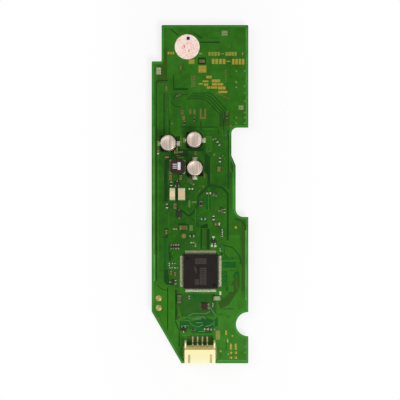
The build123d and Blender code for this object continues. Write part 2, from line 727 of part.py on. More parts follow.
place = top_side(*RESISTOR_NETWORK)
body, terminals = resistor_network()
save("resistor_network_body", [place * body])
save("resistor_network_terminals", [place * item for item in terminals])

x, y, length, width, height = TANTALUM
place = top_side(x, y, -90)
body, ends = chip(length, width, height, TANTALUM_END)
save("tantalum_capacitor_body", [place * body])
save("tantalum_capacitor_terminals", [place * item for item in ends])

SMALL_CHIPS = (
    ("regulator", "body", REGULATOR_FORM, REGULATORS),
    ("transistor", "bodies", TRANSISTOR_FORM, TRANSISTORS),
    ("diode", "bodies", DIODE_FORM, DIODES),
)
for name, noun, form, places in SMALL_CHIPS:
    bodies, leads = [], []
    for x, y, turn in places:
        place = top_side(x, y, turn)
        body, own_leads = small_outline(*form)
        bodies.append(place * body)
        leads += [place * item for item in own_leads]
    save(f"{name}_{noun}", bodies)
    save(f"{name}_leads", leads)

save("gold_test_pads", [block(width, depth, LAND_THICKNESS, x=x, y=y, z=BOARD_TOP)
                        for x, y, width, depth in TEST_PADS]
     + [extrude(Pos(x, y, BOARD_TOP) * RegularPolygon(radius, ROUND_PAD_SIDES), LAND_THICKNESS)
        for x, y, radius in ROUND_TEST_PADS])
save("tinned_pads", [block(width, depth, LAND_THICKNESS, x=x, y=y, z=BOARD_TOP)
                     for x, y, width, depth in TINNED_PADS])
save("wire_solder_joints", [Pos(x, y, 0) * wire_joint() for x, y in WIRE_HOLES])
save("inspection_sticker", [Pos(STICKER_X, STICKER_Y, BOARD_TOP + STICKER_THICKNESS / 2)
                            * Cylinder(STICKER_RADIUS, STICKER_THICKNESS)])

for name, (x, y, turn, pitch, ways) in RIBBON_CONNECTORS.items():
    place = under_side(x, y, turn)
    housing, contacts, tabs = ribbon_connector(pitch, ways)
    save(f"{name}_ribbon_housing", [place * housing])
    save(f"{name}_ribbon_contacts", [place * item for item in contacts])
    save(f"{name}_ribbon_tabs", [place * item for item in tabs])

place = under_side(DRIVER_X, DRIVER_Y, 90)
body, leads, tabs = motor_driver()
save("motor_driver_body", [place * body])
save("motor_driver_leads", [place * item for item in leads])
save("motor_driver_heat_tabs", [place * item for item in tabs])
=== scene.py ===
"""Looks of a narrow optical drive circuit board: finishes, copper work, small parts and studio.

Every length is in millimetres, apart from those of the lamps, and becomes metres in the bench tools.
"""

import json
import logging
import math
import random
from contextlib import contextmanager
from dataclasses import dataclass
from enum import Enum
from typing import Callable, Iterator, Sequence

import bmesh
import bpy
from mathutils import Matrix, Vector

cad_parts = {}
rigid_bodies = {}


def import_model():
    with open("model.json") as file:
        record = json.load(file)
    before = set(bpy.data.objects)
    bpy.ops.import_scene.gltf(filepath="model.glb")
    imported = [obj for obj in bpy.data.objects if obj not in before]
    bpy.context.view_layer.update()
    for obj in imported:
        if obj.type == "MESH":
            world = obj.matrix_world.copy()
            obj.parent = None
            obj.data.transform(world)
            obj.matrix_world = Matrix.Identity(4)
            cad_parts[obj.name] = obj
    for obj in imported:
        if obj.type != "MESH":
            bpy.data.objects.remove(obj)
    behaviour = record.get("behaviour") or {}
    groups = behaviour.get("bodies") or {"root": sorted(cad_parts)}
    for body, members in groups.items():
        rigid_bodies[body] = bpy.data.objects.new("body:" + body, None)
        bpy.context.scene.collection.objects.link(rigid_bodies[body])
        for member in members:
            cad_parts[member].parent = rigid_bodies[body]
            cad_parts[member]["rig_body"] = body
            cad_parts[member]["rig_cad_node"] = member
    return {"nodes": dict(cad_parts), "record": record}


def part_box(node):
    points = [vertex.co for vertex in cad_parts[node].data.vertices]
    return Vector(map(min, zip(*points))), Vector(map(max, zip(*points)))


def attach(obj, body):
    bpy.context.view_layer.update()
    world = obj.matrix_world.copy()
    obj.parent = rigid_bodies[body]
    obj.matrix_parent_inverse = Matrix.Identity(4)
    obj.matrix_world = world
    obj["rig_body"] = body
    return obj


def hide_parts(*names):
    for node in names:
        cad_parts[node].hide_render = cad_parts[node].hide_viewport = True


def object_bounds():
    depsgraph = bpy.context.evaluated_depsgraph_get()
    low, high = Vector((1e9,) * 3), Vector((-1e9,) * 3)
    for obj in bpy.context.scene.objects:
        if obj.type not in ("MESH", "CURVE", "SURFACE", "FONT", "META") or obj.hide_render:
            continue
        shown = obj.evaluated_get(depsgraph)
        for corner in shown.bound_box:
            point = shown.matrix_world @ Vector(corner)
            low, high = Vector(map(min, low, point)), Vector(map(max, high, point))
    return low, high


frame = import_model()
CAD_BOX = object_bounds()

logging.basicConfig(level=logging.INFO, format="%(message)s")
log = logging.getLogger("circuit_board")

MM = 0.001
BODY = "root"
SPECK = 0.01                  # size of the plane that is merged to the first point of a line
CLOSE = 0.002                 # points nearer than this are one point
SHARP = math.radians(35)      # edges sharper than this are bevelled and stay crisp

Point = tuple[float, float]
Sides = tuple[float, float, float, float]
Shape = tuple[Point, ...] | Sides         # the corners of an outline, or left, top, right and bottom of a box
Colour = tuple[int, int, int]            # red, green and blue as on a screen, from 0 to 255


# ------------------------------ colours and places


def linear(colour: Colour) -> tuple[float, ...]:
    """Turn a screen colour into the linear colour that a node takes.

    Args:
        colour: Red, green and blue, each from 0 to 255.

    Returns:
        The linear colour.
    """
    shares = [value / 255 for value in colour]
    return tuple(share / 12.92 if share <= 0.04045 else ((share + 0.055) / 1.055) ** 2.4 for share in shares)


@dataclass(frozen=True)
class Box:
    """Box between two corners, in millimetres."""

    low: Vector
    high: Vector

    @classmethod
    def of_node(cls, node: str) -> "Box":
        """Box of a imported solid."""
        low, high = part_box(node)
        return cls(low / MM, high / MM)

    @property
    def centre(self) -> Vector:
        """Middle of the box."""
        return (self.low + self.high) / 2

    @property
    def size(self) -> Vector:
        """Width, depth and height of the box."""
        return self.high - self.low


BOARD = Box.of_node("circuit_board")
BOARD_TOP = BOARD.high.z
BOARD_BOTTOM = BOARD.low.z


class Side(Enum):
    """Face of the board that a piece lies on, as the direction away from the board."""

    TOP = 1
    UNDER = -1

    @property
    def level(self) -> float:
        """Height of the board's face on this side."""
        return BOARD_TOP if self is Side.TOP else BOARD_BOTTOM


# ------------------------------ bench tools


def put_down() -> None:
    """Leave edit mode and select nothing."""
    if bpy.context.mode != "OBJECT":
        bpy.ops.object.mode_set(mode="OBJECT")
    bpy.ops.object.select_all(action="DESELECT")


def pick_up(piece: bpy.types.Object) -> None:
    """Select one piece alone and make it the active one.

    Args:
        piece: The piece.
    """
    put_down()
    piece.select_set(True)
    bpy.context.view_layer.objects.active = piece


@contextmanager
def editing(piece: bpy.types.Object, mode: str = "FACE") -> Iterator[None]:
    """Work on a piece in edit mode, with all of it selected.

    Args:
        piece: The piece to edit.
        mode: What is selected, VERT, EDGE or FACE.

    Yields:
        Nothing. The piece leaves edit mode afterwards.
    """
    pick_up(piece)
    bpy.ops.object.mode_set(mode="EDIT")
    bpy.ops.mesh.select_mode(type=mode)
    bpy.ops.mesh.select_all(action="SELECT")
    yield
    bpy.ops.object.mode_set(mode="OBJECT")


def fixed_place(name: str) -> bpy.types.Object:
    """Name the active piece and move its place into its mesh.

    Args:
        name: The piece's name.

    Returns:
        The piece, at the origin.
    """
    piece = bpy.context.active_object
    piece.name = name
    piece.data.name = name
    bpy.ops.object.transform_apply(location=True, rotation=True, scale=True)
    return piece


def disc(name: str, centre: Sequence[float], radius: float, height: float, sides: int) -> bpy.types.Object:
    """Start a piece from an upright round slab whose underside is centred on a point.

    Args:
        name: The piece's name.
        centre: Middle of the slab's underside.
        radius: Its radius.
        height: Its height.
        sides: How many sides stand for the round.

    Returns:
        The slab.
    """
    x, y, z = centre
    put_down()
    bpy.ops.mesh.primitive_cylinder_add(
        vertices=sides, radius=radius * MM, depth=height * MM,
        location=Vector((x, y, z + height / 2)) * MM)
    return fixed_place(name)


def blank(name: str) -> bpy.types.Object:
    """Start a piece with nothing in its mesh, for lines to be drawn in.

    Args:
        name: The piece's name.

    Returns:
        The empty piece.
    """
    put_down()
    bpy.ops.mesh.primitive_plane_add(size=SPECK * MM)
    piece = fixed_place(name)
    with editing(piece, "VERT"):
        bpy.ops.mesh.delete(type="VERT")
    return piece


def draw(points: Sequence[Sequence[float]]) -> None:
    """Draw a line in the piece being edited, by pulling one vertex from point to point.

    Args:
        points: The points.
    """
    stops = [Vector(point) * MM for point in points]
    bpy.ops.mesh.select_all(action="DESELECT")
    bpy.ops.mesh.primitive_plane_add(size=SPECK * MM, location=stops[0])
    bpy.ops.mesh.merge(type="CENTER")
    for start, end in zip(stops, stops[1:]):
        bpy.ops.mesh.extrude_vertices_move(TRANSFORM_OT_translate={"value": end - start})


def pull(rise: Sequence[float]) -> None:
    """Extrude what is selected by a step."""
    bpy.ops.mesh.extrude_region_move(TRANSFORM_OT_translate={"value": Vector(rise) * MM})


def close_up() -> None:
    """Merge what lies together in the piece being edited and turn its faces outwards."""
    bpy.ops.mesh.select_all(action="SELECT")
    bpy.ops.mesh.remove_doubles(threshold=CLOSE * MM)
    bpy.ops.mesh.normals_make_consistent(inside=False)


def pick_faces(piece: bpy.types.Object, wanted: Callable[[Vector, Vector], bool]) -> None:
    """Select faces of the piece being edited.

    Args:
        piece: The piece.
        wanted: Tells from a face's centre, in millimetres, and its normal whether to select it.
    """
    bpy.ops.mesh.select_all(action="DESELECT")
    mesh = bmesh.from_edit_mesh(piece.data)
    for face in mesh.faces:
        face.select_set(wanted(face.calc_center_median() / MM, face.normal))
    mesh.select_flush(True)
    bmesh.update_edit_mesh(piece.data)


def finish_with(piece: bpy.types.Object, kind: str, **settings: object) -> None:
    """Add a modifier to a piece and apply it.

    Args:
        piece: The piece.
        kind: Blender's name of the modifier's type.
        **settings: The modifier's own settings.
    """
    pick_up(piece)
    modifier = piece.modifiers.new(kind.title(), kind)
    for key, value in settings.items():
        setattr(modifier, key, value)
    bpy.ops.object.modifier_apply(modifier=modifier.name)


def soften(piece: bpy.types.Object, width: float, segments: int = 2) -> None:
    """Round a piece's sharp edges by a small bevel, and shade it so that its flat faces stay flat.

    Args:
        piece: The piece.
        width: Width of the bevel.
        segments: Its steps.
    """
    finish_with(piece, "BEVEL", width=width * MM, segments=segments, limit_method="ANGLE",
                angle_limit=SHARP, use_clamp_overlap=True)
    smooth(piece)
    finish_with(piece, "WEIGHTED_NORMAL", keep_sharp=True)


def smooth(piece: bpy.types.Object) -> None:
    """Shade a piece smooth, apart from its sharp edges."""
    pick_up(piece)
    bpy.ops.object.shade_smooth_by_angle(angle=SHARP)


def rounded(points: Sequence[Point], radius: float, steps: int = 4) -> list[Point]:
    """Replace the inner corners of a line by arcs.

    Args:
        points: The line's corners.
        radius: Radius of the arcs, where the runs leave room for it.
        steps: Runs that each arc is divided into.

    Returns:
        The corners and the points of the arcs.
    """
    corners = [Vector(point) for point in points]
    path = [corners[0]]
    for before, corner, after in zip(corners, corners[1:], corners[2:]):
        inward, outward = (before - corner), (after - corner)
        turn = inward.angle(outward)
        reach = min(radius / math.tan(turn / 2), inward.length * 0.45, outward.length * 0.45)
        start, end = corner + inward.normalized() * reach, corner + outward.normalized() * reach
        for step in range(steps + 1):
            share = step / steps
            path.append(start.lerp(corner, share).lerp(corner.lerp(end, share), share))
    path.append(corners[-1])
    return [(point.x, point.y) for point in path]


def turn_out(piece: bpy.types.Object, side: Side = Side.TOP) -> None:
    """Turn the faces of thin plates outwards, going by the face that looks away from the board.

    Args:
        piece: One or more closed plates that lie on the board.
        side: The face of the board that they lie on.
    """
    with editing(piece):
        bpy.ops.mesh.normals_make_consistent(inside=False)
        outer = max(vertex.co.z * side.value for vertex in bmesh.from_edit_mesh(piece.data).verts) / MM
        pick_faces(piece, lambda centre, normal: centre.z * side.value > outer - CLOSE
                   and normal.z * side.value < -0.5)
        bpy.ops.mesh.select_linked()
        bpy.ops.mesh.flip_normals()


def corners_of(shape: Shape) -> tuple[Point, ...]:
    """Corners of a shape.

    Args:
        shape: An outline, or the left, top, right and bottom of a box.

    Returns:
        The outline.
    """
    if isinstance(shape[0], tuple):
        return shape
    left, top, right, bottom = shape
    return (left, top), (right, top), (right, bottom), (left, bottom)


def ribbons(name: str, lines: Sequence[Sequence[Point]], width: float, height: float) -> bpy.types.Object:
    """Flat strips of one width that follow lines on the board's upper face.

    Args:
        name: The piece's name.
        lines: The lines that the strips follow.
        width: Width of the strips.
        height: How far they stand out of the board.

    Returns:
        One piece that holds all the strips.
    """
    piece = blank(name)
    with editing(piece, "VERT"):
        for line in lines:
            draw([(x, y, BOARD_TOP) for x, y in line])
        bpy.ops.mesh.select_all(action="SELECT")
        pull((0, 0, height))
    finish_with(piece, "SOLIDIFY", thickness=width * MM, offset=0, use_even_offset=True)
    turn_out(piece)
    return piece


def plates(name: str, shapes: Sequence[Shape], height: float, level: float = BOARD_TOP) -> bpy.types.Object:
    """Flat plates on the board or on a part.

    Args:
        name: The piece's name.
        shapes: The plates' outlines or boxes.
        height: How far the plates stand out.
        level: Height of the face that they lie on.

    Returns:
        One piece that holds all the plates.
    """
    piece = blank(name)
    with editing(piece, "VERT"):
        for shape in shapes:
            draw([(x, y, BOARD_TOP) for x, y in corners_of(shape)])
            bpy.ops.mesh.select_linked()
            bpy.ops.mesh.edge_face_add()
        bpy.ops.mesh.select_all(action="SELECT")
        pull((0, 0, height))
    turn_out(piece)
    piece.data.transform(shift(0, 0, level - BOARD_TOP))
    return piece


def lathe(name: str, profile: Sequence[Point], centre: Sequence[float], steps: int = 48) -> bpy.types.Object:
    """Turned piece.

    Args:
        name: The piece's name.
        profile: Radius and height of each corner of the section, from axis to axis.
        centre: The point that radius and height are measured from.
        steps: Sides of the turned piece.

    Returns:
        The closed piece.
    """
    x, y, z = centre
    piece = blank(name)
    with editing(piece, "VERT"):
        draw([(x + radius, y, z + height) for radius, height in profile])
        bpy.ops.mesh.select_all(action="SELECT")
        bpy.ops.mesh.spin(steps=steps, angle=math.tau, center=Vector(centre) * MM, axis=(0, 0, 1))
        close_up()
    smooth(piece)
    return piece


def repeat(piece: bpy.types.Object, moves: Sequence[Matrix]) -> bpy.types.Object:
    """Copy a piece to several places, each copy with its own mesh, and join them.

    Args:
        piece: The piece as modelled once.
        moves: Where each copy goes, as moves from where it was modelled.

    Returns:
        The piece, with all its copies.
    """
    copies = []
    for move in moves[1:]:
        copy = piece.copy()
        copy.data = piece.data.copy()
        copy.data.transform(move)
        bpy.context.collection.objects.link(copy)
        copies.append(copy)
    piece.data.transform(moves[0])
    pick_up(piece)
    for copy in copies:
        copy.select_set(True)
    bpy.ops.object.join()
    return piece


def shift(x: float, y: float, z: float = 0.0, turn: float = 0.0) -> Matrix:
    """Move by millimetres, after a turn about the upright axis in degrees."""
    return Matrix.Translation(Vector((x, y, z)) * MM) @ Matrix.Rotation(math.radians(turn), 4, "Z")


def merged_copy(node: str, name: str) -> bpy.types.Object:
    """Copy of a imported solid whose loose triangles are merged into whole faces.

    Args:
        node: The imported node, which is still shown.
        name: The copy's name.

    Returns:
        The copy, tied to nothing.
    """
    pick_up(frame["nodes"][node])
    bpy.ops.object.duplicate()
    bpy.ops.object.parent_clear(type="CLEAR_KEEP_TRANSFORM")
    piece = fixed_place(name)
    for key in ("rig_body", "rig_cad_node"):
        if key in piece:
            del piece[key]
    bpy.ops.mesh.customdata_custom_splitnormals_clear()
    with editing(piece):
        bpy.ops.mesh.remove_doubles(threshold=CLOSE * MM / 4)
        bpy.ops.mesh.dissolve_limited(angle_limit=math.radians(1))
    return piece


def dressed_copy(node: str, bevel: float, segments: int = 2) -> bpy.types.Object:
    """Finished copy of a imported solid, with its sharp edges rounded. It replaces the solid.

    Args:
        node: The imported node.
        bevel: Width of the bevel.
        segments: Its steps.

    Returns:
        The copy.
    """
    piece = merged_copy(node, f"{node}_finished")
    soften(piece, bevel, segments)
    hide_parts(node)
    return piece


def islands(piece: bpy.types.Object) -> list[list[int]]:
    """List the vertices of each separate solid of a merged piece.

    Args:
        piece: The piece.

    Returns:
        A list for each solid.
    """
    mesh = bmesh.new()
    mesh.from_mesh(piece.data)
    mesh.verts.ensure_lookup_table()
    seen: set[int] = set()
    groups = []
    for first in mesh.verts:
        if first.index in seen:
            continue
        group, waiting = [], [first]
        seen.add(first.index)
        while waiting:
            vertex = waiting.pop()
            group.append(vertex.index)
            for edge in vertex.link_edges:
                other = edge.other_vert(vertex)
                if other.index not in seen:
                    seen.add(other.index)
                    waiting.append(other)
        groups.append(group)
    mesh.free()
    return groups


def island_boxes(piece: bpy.types.Object) -> list[Box]:
    """Box of each separate solid of a merged piece.

    Args:
        piece: The piece.

    Returns:
        The boxes, in the order of the solids.
    """
    boxes = []
    for group in islands(piece):
        points = [piece.data.vertices[index].co / MM for index in group]
        low = Vector(min(point[axis] for point in points) for axis in range(3))
        high = Vector(max(point[axis] for point in points) for axis in range(3))
        boxes.append(Box(low, high))
    return boxes


def island_boxes_of(node: str) -> list[Box]:
    """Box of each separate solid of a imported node.

    Args:
        node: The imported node, which is still shown.

    Returns:
        The boxes.
    """
    copy = merged_copy(node, f"{node}_places")
    boxes = island_boxes(copy)
    bpy.data.objects.remove(copy)
    return boxes


def give_tones(piece: bpy.types.Object, tone_of: Callable[[Box], float]) -> None:
    """Give each separate solid of a piece its own tone, a number from 0 to 1 on its vertices.

    Args:
        piece: The piece.
        tone_of: Tells a solid's tone from its box.
    """
    groups, boxes = islands(piece), island_boxes(piece)
    tones = piece.data.attributes.new("tone", "FLOAT", "POINT")
    for group, box in zip(groups, boxes):
        tone = tone_of(box)
        for index in group:
            tones.data[index].value = tone


def one_tone(tone: float) -> Callable[[Box], float]:
    """The same tone for every solid."""
    return lambda box: tone


def drawn_tones(seed: int) -> Callable[[Box], float]:
    """Tones drawn one after the other, whatever the solid."""
    dice = random.Random(seed)
    return lambda box: dice.random()


# ------------------------------ finishes


class Nodes:
    """Node tree, with short calls for the nodes that the finishes and the studio share."""

    def __init__(self, tree: bpy.types.NodeTree) -> None:
        """Take hold of a tree."""
        self.tree = tree

    def feed(self, socket: bpy.types.NodeSocket, value: object) -> None:
        """Link an input to an output, or set its value.

        Args:
            socket: The input.
            value: An output, a screen colour for a colour's input, or a plain value.
        """
        if isinstance(value, bpy.types.NodeSocket):
            self.tree.links.new(value, socket)
        elif socket.type == "RGBA":
            socket.default_value = (*linear(value), 1.0)
        else:
            socket.default_value = value

    def add(self, kind: str, **inputs: object) -> bpy.types.Node:
        """Add a node.

        Args:
            kind: Blender's name of its type, without the words that all of them begin with.
            **inputs: What its inputs are fed, named with underscores for spaces.

        Returns:
            The node.
        """
        node = self.tree.nodes.new(f"ShaderNode{kind}")
        for name, value in inputs.items():
            self.feed(node.inputs[name.replace("_", " ")], value)
        return node

    def math(self, kind: str, first: object, second: object = 0.0) -> bpy.types.NodeSocket:
        """Result of a sum on two numbers.

        Args:
            kind: Blender's name of the sum.
            first: The first number, or an output that gives it.
            second: The second one.

        Returns:
            The result.
        """
        node = self.add("Math")
        node.operation = kind
        self.feed(node.inputs[0], first)
        self.feed(node.inputs[1], second)
        return node.outputs[0]

    def steps(self, value: bpy.types.NodeSocket, low: float, high: float, first: float = 0.0,
              last: float = 1.0) -> bpy.types.NodeSocket:
        """Number that goes from a first to a last one while a value goes from low to high.

        Args:
            value: The value.
            low: Where it starts to count.
            high: Where it stops.
            first: The number up to there.
            last: The number from there on.

        Returns:
            The number.
        """
        node = self.add("MapRange", Value=value, From_Min=low, From_Max=high, To_Min=first, To_Max=last)
        return node.outputs["Result"]


class Graph(Nodes):
    """Node tree of one finish, with its shader."""

    def __init__(self, name: str) -> None:
        """Start a material with a shader and its output.

        Args:
            name: The material's name.
        """
        self.material = bpy.data.materials.new(name)
        self.material.use_nodes = True
        super().__init__(self.material.node_tree)
        self.tree.nodes.clear()
        self.shader = self.add("BsdfPrincipled")
        self.add("OutputMaterial", Surface=self.shader.outputs["BSDF"])
        coordinates = self.add("TexCoord")
        self.place = coordinates.outputs["Object"]
        self.facing = coordinates.outputs["Normal"]

    def set(self, **values: object) -> None:
        """Feed inputs of the shader, named with underscores for spaces."""
        for name, value in values.items():
            self.feed(self.shader.inputs[name.replace("_", " ")], value)

    def stretched(self, scale: Sequence[float]) -> bpy.types.NodeSocket:
        """Place on the piece, scaled by its own factor along each axis."""
        return self.add("Mapping", Vector=self.place, Scale=scale).outputs["Vector"]

    def noise(self, size: float, detail: float = 2.0,
              stretch: Sequence[float] = (1, 1, 1)) -> bpy.types.NodeSocket:
        """Soft noise.

        Args:
            size: About how large its patches are, in millimetres.
            detail: How many finer noises are laid over the first.
            stretch: How much closer the patches lie along each axis.

        Returns:
            The noise, from 0 to 1.
        """
        place = self.stretched([factor / (size * MM) for factor in stretch])
        return self.add("TexNoise", Vector=place, Scale=1.0, Detail=detail).outputs["Fac"]

    def cells(self, size: float) -> bpy.types.NodeSocket:
        """Distance to the nearest of points that lie about the given size apart."""
        place = self.stretched([1 / (size * MM)] * 3)
        return self.add("TexVoronoi", Vector=place, Scale=1.0).outputs["Distance"]

    def attribute(self, name: str) -> bpy.types.NodeSocket:
        """Number that the piece carries on its vertices.

        Args:
            name: The number's name.

        Returns:
            The number.
        """
        node = self.add("Attribute")
        node.attribute_name = name
        return node.outputs["Fac"]

    def axis(self, vector: bpy.types.NodeSocket, name: str) -> bpy.types.NodeSocket:
        """One of the X, Y and Z parts of a vector."""
        return self.add("SeparateXYZ", Vector=vector).outputs[name]

    def waves(self, length: bpy.types.NodeSocket, pitch: float) -> bpy.types.NodeSocket:
        """Even waves from -1 to 1 along a length, a pitch in millimetres apart."""
        return self.math("SINE", self.math("MULTIPLY", length, math.tau / (pitch * MM)))

    def mixed(self, *parts: tuple[bpy.types.NodeSocket, float]) -> bpy.types.NodeSocket:
        """Sum of numbers, each by its own share.

        Args:
            *parts: The numbers and their shares.

        Returns:
            The sum.
        """
        scaled = [self.math("MULTIPLY", value, share) for value, share in parts]
        total = scaled[0]
        for part in scaled[1:]:
            total = self.math("ADD", total, part)
        return total

    def ramp(self, value: bpy.types.NodeSocket, *stops: tuple[float, Colour]) -> bpy.types.NodeSocket:
        """Colour that runs through stops as a value goes from 0 to 1.

        Args:
            value: The value.
            *stops: Places along the way, each with its colour.

        Returns:
            The colour.
        """
        node = self.add("ValToRGB", Fac=value)
        points = node.color_ramp.elements
        while len(points) < len(stops):
            points.new(1.0)
        for point, (position, colour) in zip(points, stops):
            point.position = position
            point.color = (*linear(colour), 1.0)
        return node.outputs["Color"]

    def own_tone(self, tones: Sequence[Colour]) -> bpy.types.NodeSocket:
        """Colour of each separate solid, from a row of tones and the number on its vertices.

        Args:
            tones: Colours for the numbers from 0 to 1, evenly spaced.

        Returns:
            The colour.
        """
        last = len(tones) - 1
        stops = [(index / last, tone) for index, tone in enumerate(tones)]
        return self.ramp(self.attribute("tone"), *stops)

    def blend(self, share: object, first: object, second: object) -> bpy.types.NodeSocket:
        """Colour between two.

        Args:
            share: Share of the second colour.
            first: The first colour, or an output that gives it.
            second: The second one.

        Returns:
            The colour.
        """
        node = self.add("Mix")
        node.data_type = "RGBA"
        self.feed(node.inputs["Factor"], share)
        colours = [socket for socket in node.inputs if socket.type == "RGBA"]
        self.feed(colours[0], first)
        self.feed(colours[1], second)
        return next(socket for socket in node.outputs if socket.type == "RGBA")

    def relief(self, height: bpy.types.NodeSocket, depth: float) -> None:
        """Raise the surface by a height from 0 to 1, over a depth in millimetres."""
        bump = self.add("Bump", Height=height, Distance=depth * MM, Strength=1.0)
        self.set(Normal=bump.outputs["Normal"])


@dataclass(frozen=True)
class Finish:
    """Finish of a material slot: its name, its roughness, and a method that paints it."""

    name: str
    roughness: float

    def paint(self, graph: Graph) -> None:
        """Build the finish's nodes."""
        raise NotImplementedError

    def material(self) -> bpy.types.Material:
        """Make the finish's material, once.

        Returns:
            The material.
        """
        made = bpy.data.materials.get(f"{self.name}_finish")
        if made is None:
            graph = Graph(f"{self.name}_finish")
            self.paint(graph)
            made = graph.material
        return made

    def dress(self, piece: bpy.types.Object, slot: str) -> bpy.types.Object:
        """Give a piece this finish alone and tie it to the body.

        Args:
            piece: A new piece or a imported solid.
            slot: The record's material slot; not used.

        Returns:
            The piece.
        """
        if piece.data.materials:
            for index in range(len(piece.data.materials)):
                piece.data.materials[index] = self.material()
        else:
            piece.data.materials.append(self.material())
        if "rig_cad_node" not in piece:
            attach(piece, BODY)
        log.info("%s: %s, %d faces", piece.name, self.name, len(piece.data.polygons))
        return piece


@dataclass(frozen=True)
class SolderMask(Finish):
    """Green solder mask over copper and laminate, with the laminate's layers on the cut edges."""

    dark: Colour
    middle: Colour
    light: Colour
    laminate: Colour = (170, 176, 110)
    resin: Colour = (104, 122, 62)
    end: float = 1000.0             # how far up its length the board turns dark
    gloss: float = 0.08
    cloud: float = 9.0              # size of the broad changes of tone
    patch: float = 2.4              # size of the finer ones
    corner: tuple[float, float] = (5.0, 75.0)   # where the lower right corner's light starts and is full
    ends: tuple[float, float] = (18.0, 45.0)    # the same for both ends of the board
    thread: float = 0.45            # pitch of the glass cloth
    ply: float = 0.2                # height of a layer of the laminate

    def green(self, graph: Graph) -> bpy.types.NodeSocket:
        """Cloudy green, lighter at both ends and to the lower right, dark beyond the end.

        Args:
            graph: The finish's nodes.

        Returns:
            The colour.
        """
        across = graph.axis(graph.place, "X")
        along = graph.axis(graph.place, "Y")
        lean = graph.math("SUBTRACT", graph.math("MULTIPLY", across, 0.8), along)
        lower_right = graph.steps(lean, *(place * MM for place in self.corner))
        outer = graph.steps(graph.math("ABSOLUTE", along), *(place * MM for place in self.ends))
        tone = graph.mixed((graph.noise(self.cloud, 4), 0.5), (graph.noise(self.patch, 3), 0.3),
                           (lower_right, 0.18), (outer, 0.14))
        clouded = graph.ramp(tone, (0.3, self.dark), (0.5, self.middle), (0.78, self.light))
        return graph.blend(graph.steps(along, self.end * MM, (self.end + 0.1) * MM), clouded, self.dark)

    def paint(self, graph: Graph) -> None:
        """Green over woven glass on the faces, glass and resin in layers on the cut edges.

        Args:
            graph: The finish's nodes.
        """
        layers = graph.waves(graph.axis(graph.place, "Z"), self.ply)
        cut = graph.ramp(graph.steps(layers, -1, 1), (0.0, self.resin), (1.0, self.laminate))
        upright = graph.math("ABSOLUTE", graph.axis(graph.facing, "Z"))
        is_edge = graph.math("LESS_THAN", upright, 0.5)
        graph.set(Base_Color=graph.blend(is_edge, self.green(graph), cut))
        graph.set(Roughness=graph.math("ADD", graph.math("MULTIPLY", is_edge, 0.35), self.roughness))
        graph.set(IOR=1.5, Specular_IOR_Level=self.gloss)
        threads = [graph.waves(graph.axis(graph.place, name), self.thread) for name in ("X", "Y")]
        graph.relief(graph.math("MULTIPLY", *threads), 0.004)


@dataclass(frozen=True)
class MaskedCopper(Finish):
    """Solder mask over copper: one green with slow changes of tone and fine grain."""

    colour: Colour
    other: Colour
    gloss: float = 0.08
    drift: float = 5.0              # size of the slow changes
    grain: float = 0.25

    def paint(self, graph: Graph) -> None:
        """Two greens that drift into each other.

        Args:
            graph: The finish's nodes.
        """
        tone = graph.noise(self.drift, 3)
        graph.set(Base_Color=graph.ramp(tone, (0.3, self.other), (0.65, self.colour)))
        graph.set(Roughness=self.roughness, IOR=1.5, Specular_IOR_Level=self.gloss)
        graph.relief(graph.noise(self.grain, 2), 0.004)


@dataclass(frozen=True)
class Metal(Finish):
    """Bare metal with a tarnish, and a grain that may be drawn out along one axis."""

    colour: Colour
    tarnish: Colour
    grain: float
    shine: float = 1.0
    stretch: tuple[float, float, float] = (1, 1, 1)

    def paint(self, graph: Graph) -> None:
        """Metal whose colour, roughness and relief follow one grain.

        Args:
            graph: The finish's nodes.
        """
        grain = graph.noise(self.grain, 3, self.stretch)
        graph.set(Base_Color=graph.ramp(grain, (0.32, self.tarnish), (0.62, self.colour)))
        spread = graph.math("MULTIPLY", graph.noise(self.grain * 2.5, 2), 0.2)
        graph.set(Roughness=graph.math("ADD", spread, self.roughness - 0.1), Metallic=self.shine)
        graph.relief(grain, 0.004)


@dataclass(frozen=True)
class TonedMetal(Finish):
    """Metal whose tone differs from one solid to the next; on the chip's leads and on the lands the tones are
    painted light and shade.
    """

    tones: tuple[Colour, ...]
    shine: float = 0.4

    def paint(self, graph: Graph) -> None:
        """Each solid's own tone, streaked by a fine grain.

        Args:
            graph: The finish's nodes.
        """
        own = graph.own_tone(self.tones)
        grain = graph.noise(0.3, 3)
        graph.set(Base_Color=graph.blend(graph.steps(grain, 0.7, 0.35), own, self.tones[0]))
        graph.set(Roughness=graph.math("ADD", graph.math("MULTIPLY", grain, 0.2), self.roughness - 0.1))
        graph.set(Metallic=self.shine)
        graph.relief(grain, 0.006)


@dataclass(frozen=True)
class Moulding(Finish):
    """Moulded plastic or resin with fine flecks and a slight relief."""

    colour: Colour
    fleck: Colour
    grain: float = 0.12
    depth: float = 0.006
    gloss: float = 0.1

    def paint(self, graph: Graph) -> None:
        """Colour with flecks of a second one.

        Args:
            graph: The finish's nodes.
        """
        fine = graph.noise(self.grain, 4)
        broad = graph.noise(self.grain * 30, 2)
        flecked = graph.mixed((fine, 0.6), (broad, 0.4))
        graph.set(Base_Color=graph.ramp(flecked, (0.35, self.fleck), (0.62, self.colour)))
        graph.set(Roughness=graph.math("ADD", graph.math("MULTIPLY", broad, 0.12), self.roughness - 0.06))
        graph.set(Specular_IOR_Level=self.gloss)
        graph.relief(fine, self.depth)


@dataclass(frozen=True)
class FrontLitMoulding(Moulding):
    """Moulded plastic with a painted highlight: paler toward the board's lower end, on the side that faces
    the lamp.
    """

    pale: Colour = (255, 254, 224)
    starts: float = -67.0           # where along the board the painted highlight starts, and where it is full
    full: float = -69.5

    def paint(self, graph: Graph) -> None:
        """Colour with flecks, blended into the pale colour of the painted highlight along the board.

        Args:
            graph: The finish's nodes.
        """
        super().paint(graph)
        lit_share = graph.steps(graph.axis(graph.place, "Y"), self.starts * MM, self.full * MM)
        flecked = graph.shader.inputs["Base Color"].links[0].from_socket
        graph.set(Base_Color=graph.blend(lit_share, flecked, self.pale))


